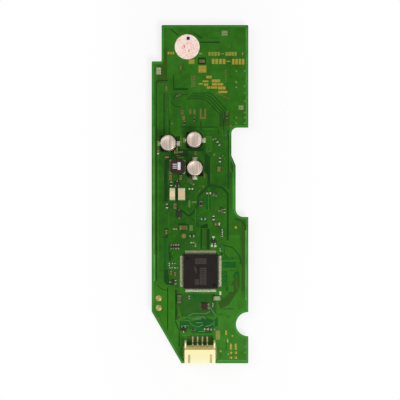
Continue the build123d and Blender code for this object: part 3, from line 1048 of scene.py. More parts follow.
@dataclass(frozen=True)
class Ceramic(Finish):
    """Fired ceramic whose tone differs from chip to chip."""

    tones: tuple[Colour, ...]
    chalk: Colour = (235, 225, 205)

    def paint(self, graph: Graph) -> None:
        """Each chip's own tone, with a fine chalky grain.

        Args:
            graph: The finish's nodes.
        """
        own = graph.own_tone(self.tones)
        grain = graph.noise(0.15, 3)
        worn = graph.math("MULTIPLY", graph.steps(grain, 0.55, 0.85), 0.35)
        graph.set(Base_Color=graph.blend(worn, own, self.chalk))
        graph.set(Roughness=self.roughness, Specular_IOR_Level=0.15)
        graph.relief(grain, 0.005)


@dataclass(frozen=True)
class Paper(Finish):
    """Thin paper label with a mottled blush."""

    colour: Colour
    blush: Colour

    def paint(self, graph: Graph) -> None:
        """Cream with a blush that gathers in small spots and ragged rings.

        Args:
            graph: The finish's nodes.
        """
        spots = graph.steps(graph.cells(0.7), 0.55, 0.15)
        broken = graph.steps(graph.noise(0.45, 3), 0.42, 0.62)
        wide = graph.steps(graph.noise(1.8, 2), 0.35, 0.65)
        inked = graph.math("MULTIPLY", graph.math("ADD", spots, broken), graph.math("ADD", wide, 0.35))
        graph.set(Base_Color=graph.blend(graph.math("MULTIPLY", inked, 0.4), self.colour, self.blush))
        graph.set(Roughness=self.roughness, Specular_IOR_Level=0.1)
        graph.relief(graph.noise(0.1, 4), 0.008)


class Finishes:
    """The finishes of the board and its parts."""

    MASK = SolderMask("solder_mask", 0.36, (22, 66, 8), (44, 122, 30), (58, 138, 40), end=69.3)
    POUR = SolderMask("masked_copper_pour", 0.34, (30, 80, 16), (44, 102, 20), (58, 126, 34))
    LIME = MaskedCopper("masked_copper_lime", 0.34, (56, 121, 26), (44, 104, 20))
    EDGE_LIME = MaskedCopper("masked_copper_edge", 0.34, (78, 140, 48), (58, 124, 36))
    # Pale green for strips along the board's edges; along its lower end it is a painted highlight on the
    # edge.
    EDGE_PALE = MaskedCopper("masked_copper_pale_edge", 0.34, (102, 162, 84), (76, 142, 58))
    BORDER = MaskedCopper("masked_copper_border", 0.34, (76, 148, 62), (54, 126, 44))
    GAP = MaskedCopper("mask_over_bare_laminate", 0.4, (18, 60, 12), (26, 70, 18))
    CLEARANCE = MaskedCopper("mask_beside_tracks", 0.4, (18, 72, 8), (26, 80, 12))
    DEEP = MaskedCopper("mask_in_shade", 0.45, (44, 80, 22), (58, 96, 30))
    TEAL = MaskedCopper("mask_over_thin_copper", 0.36, (18, 82, 30), (30, 98, 24))
    TRACK = MaskedCopper("masked_copper_track", 0.32, (58, 126, 34), (44, 108, 22))
    # Darker green for patches where the board is darker.
    DUSK = MaskedCopper("darker_green_patches", 0.38, (46, 97, 28), (38, 86, 22))
    OLIVE = MaskedCopper("mask_over_inner_copper", 0.38, (52, 86, 24), (40, 84, 16))
    PALE = MaskedCopper("masked_copper_pale", 0.36, (104, 150, 100), (64, 118, 60))

    GOLD = Metal("gold_flash", 0.45, (172, 141, 38), (118, 119, 34), 0.35, shine=0.4)
    DULL_GOLD = Metal("worn_gold_flash", 0.5, (146, 142, 44), (84, 110, 30), 0.3, shine=0.3)
    BARE_COPPER = Metal("bare_copper", 0.5, (114, 88, 33), (68, 92, 25), 0.3, shine=0.2)
    SOLDER = Metal("solder", 0.4, (222, 222, 208), (150, 152, 132), 0.4, shine=0.5)
    CREAM_SOLDER = Metal("fired_silver_ends", 0.45, (198, 196, 158), (162, 168, 128), 0.4, shine=0.25)
    DAB = Metal("thin_solder", 0.45, (188, 202, 170), (132, 158, 116), 0.3, shine=0.3)
    COPPERY = Metal("coppery_solder", 0.45, (172, 158, 106), (138, 118, 68), 0.5, shine=0.5)
    TIN = Metal("tin_plate", 0.4, (190, 184, 152), (130, 124, 96), 0.25, shine=0.5)
    DARK_TIN = Metal("shaded_tin_plate", 0.5, (124, 122, 74), (84, 88, 44), 0.4, shine=0.4)
    PIN = Metal("tinned_pin", 0.4, (186, 174, 132), (134, 124, 88), 0.25, shine=0.5)
    LEAD_SHADE = Metal("tinned_leads_in_shade", 0.5, (116, 106, 98), (86, 78, 72), 0.3, shine=0.3)
    CAN = Metal("drawn_aluminium", 0.4, (194, 178, 164), (152, 138, 128), 0.45, 0.75, (1, 0.05, 1))
    CONTACT = Metal("plated_contact", 0.3, (214, 184, 112), (170, 140, 80), 0.4, shine=0.9)
    WIRE = Metal("enamelled_wire", 0.3, (176, 96, 48), (120, 60, 30), 0.5, shine=0.6)

    TEST_GOLD = TonedMetal("gold_of_test_pads", 0.45, (
        (64, 108, 26), (98, 130, 62), (152, 94, 54), (148, 126, 62), (202, 150, 48)))
    LAND = TonedMetal("soldered_lands", 0.45, ((96, 110, 52), (144, 160, 110), (236, 236, 212)), 0.3)
    END_CAP = TonedMetal("end_caps", 0.42, ((80, 88, 48), (132, 130, 98), (232, 236, 220)))
    # The leads' tones are painted light, running from the rows in shade to the rows that face the lamp.
    LEADS = TonedMetal("tinned_leads", 0.45, ((174, 162, 148), (222, 204, 168), (255, 250, 228)))

    CHIP = Moulding("chip_moulding", 0.6, (41, 36, 33), (34, 29, 27), gloss=0.06)
    BROWN_MOULDING = Moulding("brown_moulding", 0.6, (66, 52, 42), (54, 42, 34), gloss=0.06)
    # Near-black moulding of the cans' bases, darkened further as painted shade round the cans; it also paints
    # the shade in the chip's dimples.
    BLACK_AND_SHADE = Moulding("black_moulding_and_painted_shade", 0.5, (14, 14, 15), (8, 8, 9), gloss=0.08)
    FERRITE = Moulding("ferrite", 0.6, (62, 46, 40), (40, 30, 27), 0.2, 0.012, 0.12)
    # The header's ivory, with a painted highlight toward its front.
    IVORY = FrontLitMoulding("ivory_nylon", 0.36, (255, 247, 196), (252, 240, 182), 0.5, 0.003, 0.15)
    IVORY_BACK = Moulding("ivory_nylon_in_shade", 0.45, (255, 228, 134), (244, 208, 116), 0.5, 0.003)
    # Darker ivory for the floors of the roof's slots: painted shade in the recesses.
    IVORY_SLOT_SHADE = Moulding("ivory_nylon_slots", 0.45, (214, 194, 130), (196, 174, 112), 0.5, 0.003)
    PALE_NYLON = Moulding("pale_nylon", 0.4, (228, 222, 204), (214, 206, 186), 0.5, 0.004, 0.2)
    GLAZE = Moulding("resistor_glaze", 0.4, (34, 42, 40), (24, 30, 28), 0.4, 0.003, 0.15)
    TANTALUM = Moulding("tantalum_moulding", 0.5, (112, 98, 44), (86, 82, 34), 0.3)
    PRINT = Moulding("laser_print", 0.6, (74, 69, 64), (60, 55, 51), 0.2, 0.004, 0.06)
    WHITE_PRINT = Moulding("white_print", 0.5, (240, 234, 232), (200, 194, 198), 0.3, 0.004)
    VIOLET_INK = Moulding("violet_ink", 0.6, (52, 22, 132), (40, 16, 104), 0.3, 0.002)
    RED_INK = Moulding("red_ink", 0.6, (226, 96, 120), (240, 150, 164), 0.3, 0.002)
    LABEL = Paper("label_paper", 0.7, (255, 242, 226), (244, 140, 150))

    TRANSISTOR = Ceramic("transistor_moulding", 0.6, ((36, 31, 28), (80, 88, 50)))
    DIODE = Ceramic("diode_moulding", 0.55, ((58, 84, 30), (46, 52, 30), (10, 22, 20)))
    BROWN_CHIP = Ceramic("capacitor_ceramic", 0.5, (
        (118, 88, 46), (92, 88, 38), (138, 102, 60), (66, 86, 36), (108, 76, 40), (150, 164, 128)))
    WHITE_CHIP = Ceramic("resistor_ceramic", 0.5, ((206, 204, 190), (180, 178, 160)))
    CREAM_CHIP = Ceramic("filter_ceramic", 0.5, ((216, 188, 146), (234, 206, 172)))
    GREY_CHIP = Ceramic("network_ceramic", 0.4, ((18, 22, 18), (26, 28, 24)))


def dressed_node(node: str, finish: Finish, bevel: float = 0.0, segments: int = 2,
                 tone_of: Callable[[Box], float] | None = None) -> bpy.types.Object:
    """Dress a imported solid, or a softened copy of it.

    Args:
        node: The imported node.
        finish: Its finish.
        bevel: Width of the bevel on a copy, or 0 to dress the solid itself.
        segments: Steps of the bevel.
        tone_of: Tells the tone of each of a copy's solids, for a finish that has tones.

    Returns:
        The piece that shows.
    """
    slots = {part["node"]: part["material_slot"] for part in frame["record"]["subparts"]}
    piece = dressed_copy(node, bevel, segments) if bevel else frame["nodes"][node]
    if tone_of:
        give_tones(piece, tone_of)
    return finish.dress(piece, slots[node])


def repaint(piece: bpy.types.Object, finish: Finish, wanted: Callable[[Vector, Vector], bool]) -> None:
    """Give some faces of a dressed piece another finish.

    Args:
        piece: The piece.
        finish: The other finish.
        wanted: Tells from a face's centre, in millimetres, and its normal whether it takes it.
    """
    piece.data.materials.append(finish.material())
    for face in piece.data.polygons:
        if wanted(face.center / MM, face.normal):
            face.material_index = len(piece.data.materials) - 1


# ------------------------------ the board and its copper


@dataclass
class BareBoard:
    """The board, the copper planes under its mask and the bright line along their edge."""

    edge_bevel: float = 0.06
    corner: float = 0.42            # a little less than the radius of the board's corners
    margin: float = 0.46            # bare laminate between the copper and every edge and hole
    border: float = 0.35
    plane_rise: float = 0.012
    border_rise: float = 0.02

    def pull_in(self, width: float) -> None:
        """Narrow the sheet being edited by a width along each of its edges.

        Args:
            width: The width.
        """
        bpy.ops.mesh.select_all(action="SELECT")
        bpy.ops.mesh.inset(thickness=width * MM, use_even_offset=True)
        bpy.ops.mesh.select_all(action="INVERT")
        bpy.ops.mesh.delete(type="FACE")

    def sheet(self, name: str, side: Side) -> bpy.types.Object:
        """Face of the board on one side, as a sheet pulled in from every edge and hole.

        The board's rounded corners shrink to points on the way in, and are merged before they cross.

        Args:
            name: The sheet's name.
            side: The side.

        Returns:
            The sheet.
        """
        piece = merged_copy("circuit_board", name)
        with editing(piece):
            pick_faces(piece, lambda centre, normal: normal.z * side.value > 0.9
                       and abs(centre.z - side.level) < CLOSE)
            bpy.ops.mesh.select_all(action="INVERT")
            bpy.ops.mesh.delete(type="FACE")
            self.pull_in(self.corner)
            bpy.ops.mesh.select_all(action="SELECT")
            bpy.ops.mesh.remove_doubles(threshold=(0.5 - self.corner) * 2 * MM)
            self.pull_in(self.margin - self.corner)
        return piece

    def layer(self, kind: str, side: Side, finish: Finish, rise: float, width: float = 0.0) -> None:
        """Lay copper over a whole face of the board, or only as a line round its edge.

        Args:
            kind: What the layer is called.
            side: The side that it lies on.
            finish: Its finish.
            rise: Its thickness.
            width: Width of the line, or 0 for the whole face.
        """
        piece = self.sheet(f"copper_{kind}_{side.name.lower()}", side)
        with editing(piece):
            if width:
                bpy.ops.mesh.inset(thickness=width * MM, use_even_offset=True)
                bpy.ops.mesh.delete(type="FACE")
                bpy.ops.mesh.select_all(action="SELECT")
            pull((0, 0, rise * side.value))
        turn_out(piece, side)
        finish.dress(piece, "board")

    def build(self) -> bpy.types.Object:
        """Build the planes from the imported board, then the board itself.

        Returns:
            The board.
        """
        for side in Side:
            self.layer("plane", side, Finishes.POUR, self.plane_rise)
            self.layer("border", side, Finishes.BORDER, self.border_rise, self.border)
        return dressed_node("circuit_board", Finishes.MASK, self.edge_bevel, 1)


class Group:
    """Pieces that are built one after the other."""

    PIECES: tuple = ()

    def build(self) -> None:
        """Build every piece."""
        for piece in self.PIECES:
            piece.build()


@dataclass(frozen=True)
class Runs:
    """Lines of copper, or gaps between copper, of one finish and width.

    Each set has a rise of its own, so that no two sets lie in one plane where they cross.
    """

    name: str
    finish: Finish
    width: float
    rise: float
    lines: tuple[tuple[Point, ...], ...]
    bend: float = 1.2

    def build(self) -> bpy.types.Object:
        """Draw the lines with rounded bends and give them their width."""
        lines = [rounded(line, self.bend) for line in self.lines]
        return self.finish.dress(ribbons(self.name, lines, self.width, self.rise), "board")


@dataclass(frozen=True)
class Areas:
    """Areas of one finish: copper, bare laminate, solder, painted shade or painted highlight."""

    name: str
    finish: Finish
    rise: float
    shapes: tuple[Shape, ...]
    slot: str = "board"

    def build(self) -> bpy.types.Object:
        """Raise a plate inside each outline."""
        return self.finish.dress(plates(self.name, self.shapes, self.rise), self.slot)


def side_by_side(line: Sequence[Point], count: int, step: float) -> tuple[tuple[Point, ...], ...]:
    """Lines that run beside each other down to the left of a first one.

    Args:
        line: The outermost line.
        count: How many lines there are.
        step: How far each one lies to the left of the one before, and also below it.

    Returns:
        The lines.
    """
    return tuple(tuple((x - step * index, y - step * index) for x, y in line) for index in range(count))


class CopperWork(Group):
    """Copper that shows through the mask: areas, gaps, long tracks, and patches of painted shade and painted
    highlight.
    """

    AREAS = (
        Areas("lime_areas", Finishes.LIME, 0.018, (
            ((11.4, -16.9), (16.4, -16.9), (16.4, -25.6), (11.4, -26)),
            ((-19.2, -38), (-10.9, -38), (-10.9, -60), (-12.4, -60), (-19.2, -48.6)),
            (9.4, -27.2, 16.4, -27.8), (9.4, -30.6, 15, -31.1),
            ((11.5, -32), (14.6, -32), (13.2, -33.8), (13.1, -35.9), (12.3, -35.9), (12.2, -33.8)),
            (11.8, -37.8, 13.8, -40.4),
            ((2.4, 24.1), (4.6, 24.1), (5.1, 23.6), (5.1, 17.4), (2.4, 17.4)),
            ((15.2, -44.4), (17, -41), (18.4, -39.6), (18.4, -46.6), (15.6, -48.2)),
            (-5, 56.2, -2, 53.6), (-0.9, 53.6, 2.9, 50))),
        Areas("edge_areas", Finishes.EDGE_LIME, 0.019, (
            (-19.52, 28, -18.75, -25), (18.9, 68.4, 19.52, 29.4), (13.6, 9, 14.25, -6))),
        # Pale strips along the board's sides, and two along its lower end that are a painted highlight on the
        # edge.
        Areas("pale_edges_and_edge_highlights", Finishes.EDGE_PALE, 0.0192, (
            (-19.52, -25, -18.6, -36), (18.8, -14.8, 19.52, -43.8),
            (7.2, -68.7, 19.3, -69), (7.2, -69.3, 19.3, -69.54))),
        Areas("bare_areas", Finishes.GAP, 0.015, (
            (-14.9, 14.2, -13.4, -3.1), (-14.9, -14, -13.3, -18), (0, 63.2, 8.2, 62.6),
            ((1.8, 17.2), (4.1, 15.6), (4.1, 3.6), (3.1, 3.6), (3.1, 8), (1.8, 9.6)),
            (0.2, -14.4, 0.9, -22.8), (2.7, -14.4, 4, -22.9),
            (-0.9, 56.6, 2.5, 53.7), (-10, 4.6, -9.1, -3.2), (-10.3, -39.5, -9, -52),
            ((-14.9, -31.2), (-13.4, -31.2), (-12.6, -35.6), (-10.9, -37.8), (-14, -37.4), (-14.9, -36)),
            (-10, 24, -8.3, 18.7), (-12.2, 18.6, -4.8, 15.6),
            (-4.8, 19.2, 1.4, 17.8), (-11.2, 43.9, -4.8, 43.1),
            ((0.2, -13), (3.3, -12), (3.3, -14), (0.2, -14.2)),
            (-12.9, -24, -12.1, -27.6), (8.6, -24.2, 9.4, -25.2))),
        Areas("shaded_areas", Finishes.DEEP, 0.0195, (
            (-5.6, -58.4, 5.6, -62.2), (-8.2, -55, -5.4, -56.8),
            (-9.6, -39.5, -9, -52), (-14.9, -14.6, -13.9, -17.4))),
        # Patches of darker green: below the main chip, left of it, and near the upper left edge.
        Areas("dusky_areas", Finishes.DUSK, 0.0155, (
            ((-9, -41.2), (6.2, -41.2), (6.8, -46), (6.8, -50.6), (-7.6, -50.6), (-9, -46)),
            (-10.3, -31.2, -8.6, -38.8), (-14.6, 41.6, -13, 26))),
        Areas("thin_copper_areas", Finishes.TEAL, 0.0165, (
            (9.2, -26, 13.8, -27.1), (9.3, -28, 14.7, -30.4),
            (9.4, -31.8, 11.3, -37.2), (13.9, -32, 16.3, -35.2),
            (10.6, -37.2, 11.7, -40.1), (-14.9, -18.2, -13.9, -31),
            ((-8.4, -52.4), (-5.2, -51.2), (-3.6, -52.6), (-0.4, -52), (2, -50.8), (5.8, -52.2),
             (7.4, -50.6), (7.4, -54.6), (5, -55.2), (5, -57.6), (-3.4, -57.6), (-4.6, -55.6),
             (-8.4, -56.6)),
            ((-3.8, -41.2), (2.6, -41.8), (3.4, -44.2), (0.6, -43.4), (-1.6, -44.8)),
            (-1.2, -9.6, 3, -11.4), (2.4, 1.6, 4.4, -6.2))),
        Areas("inner_copper_areas", Finishes.OLIVE, 0.0172, (
            (17.2, -11, 18.5, -44), (8, 34, 12.4, 28), (1.3, -14.4, 2.5, -22.9),
            ((-17.8, 46), (-13.6, 46), (-13.6, 60), (-15.4, 60), (-15.4, 53.6), (-17.8, 53.6)),
            ((13.2, -36.4), (16.4, -33), (16.4, -39), (12, -45.6), (8.6, -47.6), (7.4, -45),
             (11.4, -41.8)))),
    )
    RUNS = (
        Runs("long_gaps", Finishes.GAP, 0.42, 0.026, (
            ((-13.3, 47.1), (-17.4, 47.1), (-18.1, 46.4), (-18.1, -36)),
            ((-14.9, 42), (-14.9, 24.8)), ((-12.6, 31), (-12.6, 24.8)), ((-10.9, 49.4), (-10.9, 44.2)),
            ((9.4, -21), (13.4, -22), (16.5, -25.6), (17, -29)),
            ((9.8, 31), (9.8, 26.6)), ((11.7, 26.6), (11.7, 2)), ((0.4, 26.6), (0.4, 30.2)),
            ((14.4, -10.2), (17.2, -11), (18.7, -13.2), (18.7, -15)),
            ((-12, 38.4), (-10.6, 36.6), (-8, 36)), ((-12.1, 68.3), (-9, 65.8)),
            ((-2.6, 66.8), (0.9, 64.5)), ((-13.4, -38.6), (-13.4, -56)),
            ((-10.2, -52.4), (-8.6, -56.4), (-8.6, -63)))),
        Runs("looping_gap", Finishes.GAP, 0.7, 0.0265, (
            ((-9.6, -5.7), (-6.6, -7.4), (-5, -8.9), (-3.9, -8.6), (-2.5, -7.1), (-0.8, -4.4),
             (-0.8, -0.9), (1, 0.75), (3, 3), (5, 4), (6.6, 3.1), (9, 2.9), (11.5, 0.4),
             (11.5, -19)),), bend=1.6),
        Runs("bus_gaps", Finishes.GAP, 0.34, 0.027, side_by_side(
            ((-3.2, 41.8), (3.4, 41.9), (5.4, 41), (10.8, 35.2), (11.2, 30.4)), 4, 0.7955)),
        Runs("nested_gaps", Finishes.GAP, 0.3, 0.0275, (
            ((-5.3, 41.2), (-10, 41.2), (-10.8, 40.4), (-10.8, 38.8)),
            ((-7.6, 27.8), (6.8, 27.8), (7.6, 27), (7.6, 24.8)),
            ((-3.4, -10.2), (-0.6, -12.4), (-0.6, -13.9)), ((5.2, -11.2), (8.6, -14.2), (8.6, -16)),
            ((-12.9, -21.6), (-12.9, -24.6), (-11.2, -26.6)), ((10, -22.4), (10, -24.8), (11, -25.8)),
            ((-17.8, -37.6), (-15.6, -39.4), (-13.2, -39.8)))),
        Runs("light_tracks", Finishes.TRACK, 0.3, 0.028, (
            ((-12.9, -7.4), (-12.9, -13.6)), ((-13.6, 36), (-13.6, 24.6)), ((-12.4, 41), (-12.4, 34)),
            ((-17.3, 44), (-17.3, -34)),
            ((11.9, 25), (12.4, 23.6), (12.4, 10.4), (13.4, 9), (13.4, -8)),
            ((1.6, 27), (9.2, 27), (9.2, 24)), ((-7.8, 24.6), (-7.8, 19.6)), ((3.6, -6.8), (3.6, 2.6)),
            ((-1.9, -5.6), (-1.9, -12)), ((17, -40.6), (15.4, -45), (14.2, -46.8)))),
        Runs("pale_tracks", Finishes.PALE, 0.3, 0.0285, (
            ((-8, -52.2), (-4.8, -52.2), (-4, -53)), ((-1.5, -50.8), (1.9, -50.8), (2.1, -51.8)),
            ((2.2, -54.8), (4.2, -54.3), (5.8, -53.2)),
            ((-4.2, -53.3), (-2.5, -54.6), (-0.7, -55), (1.3, -54)),
            ((-4.8, -50.4), (-2.8, -49.4), (2.7, -49.4), (4.2, -48.4)), ((-7.2, -58.4), (-4.4, -58.4)),
            ((-3.4, -51.6), (0.4, -51.6)), ((-7, -54.4), (-4.6, -54.4)), ((5.8, -52.4), (5.8, -54.6)),
            ((-1.8, -53.2), (1, -53.2)), ((-0.6, -56.8), (2, -56.8)), ((4.2, -46.8), (6.6, -50.4)))),
    )
    PIECES = (*AREAS, *RUNS)


def row(first: Sides, step: Point, count: int) -> list[Sides]:
    """Boxes that follow each other by an even step.

    Args:
        first: The first box.
        step: How far the next one lies to the right and up.
        count: How many boxes there are.

    Returns:
        The boxes.
    """
    left, top, right, bottom = first
    moves = [(step[0] * index, step[1] * index) for index in range(count)]
    return [(left + x, top + y, right + x, bottom + y) for x, y in moves]


class PrintedCopper(Group):
    """Bare gilded bars and blocks in the copper, plain and without any lettering."""

    PIECES = (
        Areas("dull_bars", Finishes.DULL_GOLD, 0.03, (
            *row((3.5, 58.9, 4.4, 57.3), (1.25, 0), 4), *row((10.6, 58.9, 11.6, 57.3), (1.2, 0), 4),
            (8.6, 58.3, 9.9, 58), (-0.4, 58.5, 0.9, 57.9), (17.4, 58.7, 17.8, 57.6),
            *row((-10.6, 20, -10.2, 16.8), (0.9, 0), 2)), "gold_pad"),
        Areas("bright_bars", Finishes.GOLD, 0.03, (
            *row((4.9, 56, 6, 53.9), (1.5, 0), 4), (10.9, 55.2, 12.6, 54.8),
            *row((13.3, 56, 14.3, 53.7), (1.35, 0), 4), *row((-13.4, 58.9, -12.7, 57.9), (1, 0), 3)),
            "gold_pad"),
        Areas("stepped_bars", Finishes.GOLD, 0.03, (
            (1.1, 47.1, 3.5, 46.4), (4.9, 47.5, 8.3, 46.4), (-0.5, 45.9, 1.2, 45.4), (1.6, 45.8, 3.4, 44.9),
            (5, 46.1, 7, 45), (7.2, 46, 9.6, 45), (2.8, 44.6, 4.3, 43.7), (4.6, 44.6, 7.1, 43.7),
            (7.4, 44.6, 10.6, 43.4), (7.6, 42.8, 11.3, 41.9)), "gold_pad"),
        Areas("bare_copper_bars", Finishes.BARE_COPPER, 0.03, (
            (-8, 34.9, -6.8, 33), (-4.4, 35.1, -3.6, 33.1), (-2.7, 35.1, -1.9, 33.1),
            (-0.1, 35.4, 0.6, 31.2), (1.8, 35.4, 2.5, 31.2), (0.6, 31.9, 1.8, 31.2),
            (-7.3, 32.3, -6.2, 30.7), (-11.8, 29.7, -11.2, 28.9),
            *row((-3.7, 49, -3, 48.4), (0, -1), 5), *row((-2.75, 49, -2.05, 48.4), (0, -1), 5),
            *row((10.4, 51.4, 10.9, 50.9), (0, -0.9), 6), *row((6.9, 42, 7.5, 41.5), (0.95, -0.45), 6),
            (-8.1, 23.6, -7.6, 20), (9.2, 16.2, 9.7, 15.6), (-17.5, -51, -16.9, -51.8),
            (1.6, 8.6, 2.2, 6.6), (1, 3.6, 1.6, 2.8), (11, 34.5, 11.5, 32.7), (12.3, 28.6, 13.1, 27.7),
            (-9.4, 15.4, -6.6, 14.9), (5.4, 16.8, 6.4, 15.9)), "gold_pad"),
        Areas("solder_dabs", Finishes.DAB, 0.045, (
            (8, -40.2, 8.8, -41.8), (5.1, -17.4, 6.1, -18.1), (4.5, -21, 5.3, -21.9),
            (5.9, -21, 6.8, -21.9), (-4.7, 2.5, -4, 1.9), (-3.5, 2.5, -2.8, 1.9)), "solder"),
    )


@dataclass
class Vias:
    """Plated holes under the mask: a low ring with a dimple in it."""

    radius: float = 0.3
    hole: float = 0.15
    rise: float = 0.034
    dimple: float = 0.03
    sides: int = 10

    def build(self, places: Sequence[Point]) -> bpy.types.Object:
        """Model one via and copy it to every place.

        Args:
            places: The middles of the vias.

        Returns:
            One piece that holds all the vias.
        """
        piece = disc("vias", (0, 0, BOARD_TOP), self.radius, self.rise, self.sides)
        with editing(piece):
            pick_faces(piece, lambda centre, normal: normal.z > 0.9)
            bpy.ops.mesh.inset(thickness=(self.radius - self.hole) * MM)
            pull((0, 0, -self.dimple))
        repeat(piece, [shift(x, y) for x, y in places])
        return Finishes.TRACK.dress(piece, "board")


class Router:
    """Lays short tracks that keep clear of each other and of the board's edges."""

    CELL = 0.2                      # side of the cells in which the room on the board is counted
    EDGE = 0.8                      # least distance of a track from the board's edges and holes
    RING = 0.3                      # room for the via at a track's end
    PAD_RUNS = (0.6, 2.2), (0.4, 3.2)           # least and most length before a track's turn, and after it
    LOOSE_RUNS = (1, 6), (0.5, 2)               # the same for the track of a loose via
    FAN_RUNS = (0.8, 1.55, 2.3, 3.05, 3.8)      # lengths of the tracks that fan out of a chip

    def __init__(self, board: bpy.types.Object, seed: int) -> None:
        """Start with an empty board.

        Args:
            board: The board.
            seed: Where the random draws start.
        """
        self.board = board
        self.dice = random.Random(seed)
        self.taken: set[tuple[int, int]] = set()
        self.lines: list[list[Point]] = []
        self.vias: list[Point] = []

    def stops(self, line: Sequence[Point]) -> list[Point]:
        """Points half a cell apart along a line.

        Args:
            line: The line's corners.

        Returns:
            The points.
        """
        points = []
        for (x, y), (end_x, end_y) in zip(line, line[1:]):
            count = max(1, math.ceil(math.dist((x, y), (end_x, end_y)) / self.CELL * 2))
            points += [(x + (end_x - x) * i / count, y + (end_y - y) * i / count) for i in range(count + 1)]
        return points

    def cell(self, x: float, y: float) -> tuple[int, int]:
        """Cell that a point lies in."""
        return round(x / self.CELL), round(y / self.CELL)

    def around(self, cells: set[tuple[int, int]], reach: int) -> set[tuple[int, int]]:
        """Cells that lie no more than a reach away from some cells, each way.

        Args:
            cells: The cells.
            reach: The reach, in cells.

        Returns:
            The cells and those around them.
        """
        span = range(-reach, reach + 1)
        return {(i + di, j + dj) for i, j in cells for di in span for dj in span}

    def on_board(self, x: float, y: float) -> bool:
        """Whether a point lies on the board, well away from its edges and holes.

        Args:
            x: The point's place across the board.
            y: Its place along the board.

        Returns:
            Whether it and four points round it meet the board's upper face from above.
        """
        reach = self.EDGE
        for offset in ((0, 0), (reach, 0), (-reach, 0), (0, reach), (0, -reach)):
            start = Vector((x + offset[0], y + offset[1], BOARD_TOP + 1)) * MM
            found, place, _, _ = self.board.ray_cast(start, Vector((0, 0, -1)))
            if not found or abs(place.z / MM - BOARD_TOP) > CLOSE:
                return False
        return True

    def keep_off_line(self, line: Sequence[Point], width: float) -> None:
        """Mark the cells under a line as taken.

        Args:
            line: The line's corners.
            width: Its width.
        """
        under = {self.cell(x, y) for x, y in self.stops(line)}
        self.taken |= self.around(under, math.ceil(width / 2 / self.CELL))

    def keep_off_area(self, shape: Shape) -> None:
        """Mark the cells inside an outline or a box as taken.

        Args:
            shape: The outline or box.
        """
        outline = corners_of(shape)
        (left, low), (right, high) = (self.cell(*map(pick, zip(*outline))) for pick in (min, max))
        sides = list(zip(outline, [*outline[1:], outline[0]]))
        for i in range(left, right + 1):
            for j in range(low, high + 1):
                x, y = i * self.CELL, j * self.CELL
                crossed = [side for side in sides if self.is_crossed(side, x, y)]
                if len(crossed) % 2:
                    self.taken.add((i, j))

    def is_crossed(self, side: tuple[Point, Point], x: float, y: float) -> bool:
        """Whether a line that runs to the right from a point crosses one side of an outline.

        Args:
            side: Both ends of the side.
            x: The point's place across the board.
            y: Its place along the board.

        Returns:
            Whether it does.
        """
        (start_x, start_y), (end_x, end_y) = side
        return (start_y > y) != (end_y > y) and (
            x < start_x + (y - start_y) / (end_y - start_y) * (end_x - start_x))

    def lay(self, line: Sequence[Point]) -> bool:
        """Lay a track that ends in a via, if it has room.

        Args:
            line: The track's corners, from the pad outwards.

        Returns:
            Whether it was laid.
        """
        end_x, end_y = line[-1]
        ring = [(end_x + self.RING * math.cos(turn), end_y + self.RING * math.sin(turn)) for turn in range(6)]
        points = self.stops(line)
        cells = {self.cell(x, y) for x, y in points + ring}
        seats = points[::4] + [line[-1]]
        if self.around(cells, 1) & self.taken or not all(self.on_board(x, y) for x, y in seats):
            return False
        self.taken |= cells
        self.lines.append(list(line))
        self.vias.append(line[-1])
        return True

    def stub(self, start: Point, heading: float, reach: float, length: float, lean: int) -> list[Point]:
        """Track that leaves a pad straight and then turns off by 45 degrees.

        Args:
            start: Where it leaves the pad.
            heading: Its first direction, in radians.
            reach: Its straight run.
            length: Its run after the turn.
            lean: 1 to turn left, -1 to turn right, 0 to go straight on.

        Returns:
            The track's corners.
        """
        x, y = start
        bend = (x + math.cos(heading) * reach, y + math.sin(heading) * reach)
        after = heading + lean * math.pi / 4
        return [start, bend, (bend[0] + math.cos(after) * length, bend[1] + math.sin(after) * length)]

    def leave_pads(self, pads: Sequence[Box], bodies: Sequence[Box], tries: int = 6) -> None:
        """Lead a track out of each pad, away from the body that it belongs to.

        Args:
            pads: The pads.
            bodies: The bodies, of which each pad belongs to the nearest one.
            tries: How many tracks are tried at each pad.
        """
        for pad in pads:
            body = min(bodies, key=lambda box: (box.centre - pad.centre).length)
            away = pad.centre - body.centre
            heading = math.atan2(away.y, away.x)
            for _ in range(tries):
                first, second = (self.dice.uniform(*run) for run in self.PAD_RUNS)
                lean = self.dice.choice((-1, 0, 1))
                if self.lay(self.stub((pad.centre.x, pad.centre.y), heading, first, second, lean)):
                    break

    def fan_out(self, leads: Sequence[Box], centre: Vector) -> None:
        """Lead a track out of each lead of a chip, square to its side and in five lengths.

        Args:
            leads: The leads.
            centre: The middle of the chip.
        """
        in_rows = sorted(leads, key=lambda box: (round(box.centre.x), round(box.centre.y)))
        for index, lead in enumerate(in_rows):
            away = lead.centre - centre
            reach = self.FAN_RUNS[index * 7 % 5]
            if abs(away.x) > abs(away.y):
                heading = 0.0 if away.x > 0 else math.pi
                start = (lead.high.x if away.x > 0 else lead.low.x, lead.centre.y)
            else:
                heading = math.copysign(math.pi / 2, away.y)
                start = (lead.centre.x, lead.high.y if away.y > 0 else lead.low.y)
            self.lay([start, (start[0] + math.cos(heading) * reach, start[1] + math.sin(heading) * reach)])

    def scatter(self, count: int, low: Point, high: Point) -> None:
        """Place vias of their own, each with a short track, where there is still room.

        Args:
            count: How many are tried.
            low: Lower left corner of the field that they are tried in.
            high: Its upper right corner.
        """
        for _ in range(count):
            start = (self.dice.uniform(low[0], high[0]), self.dice.uniform(low[1], high[1]))
            heading = math.pi / 2 * self.dice.randrange(4)
            if not self.on_board(*start):
                continue
            first, second = (self.dice.uniform(*run) for run in self.LOOSE_RUNS)
            if self.lay(self.stub(start, heading, first, second, self.dice.choice((-1, 1)))):
                self.vias.append(start)


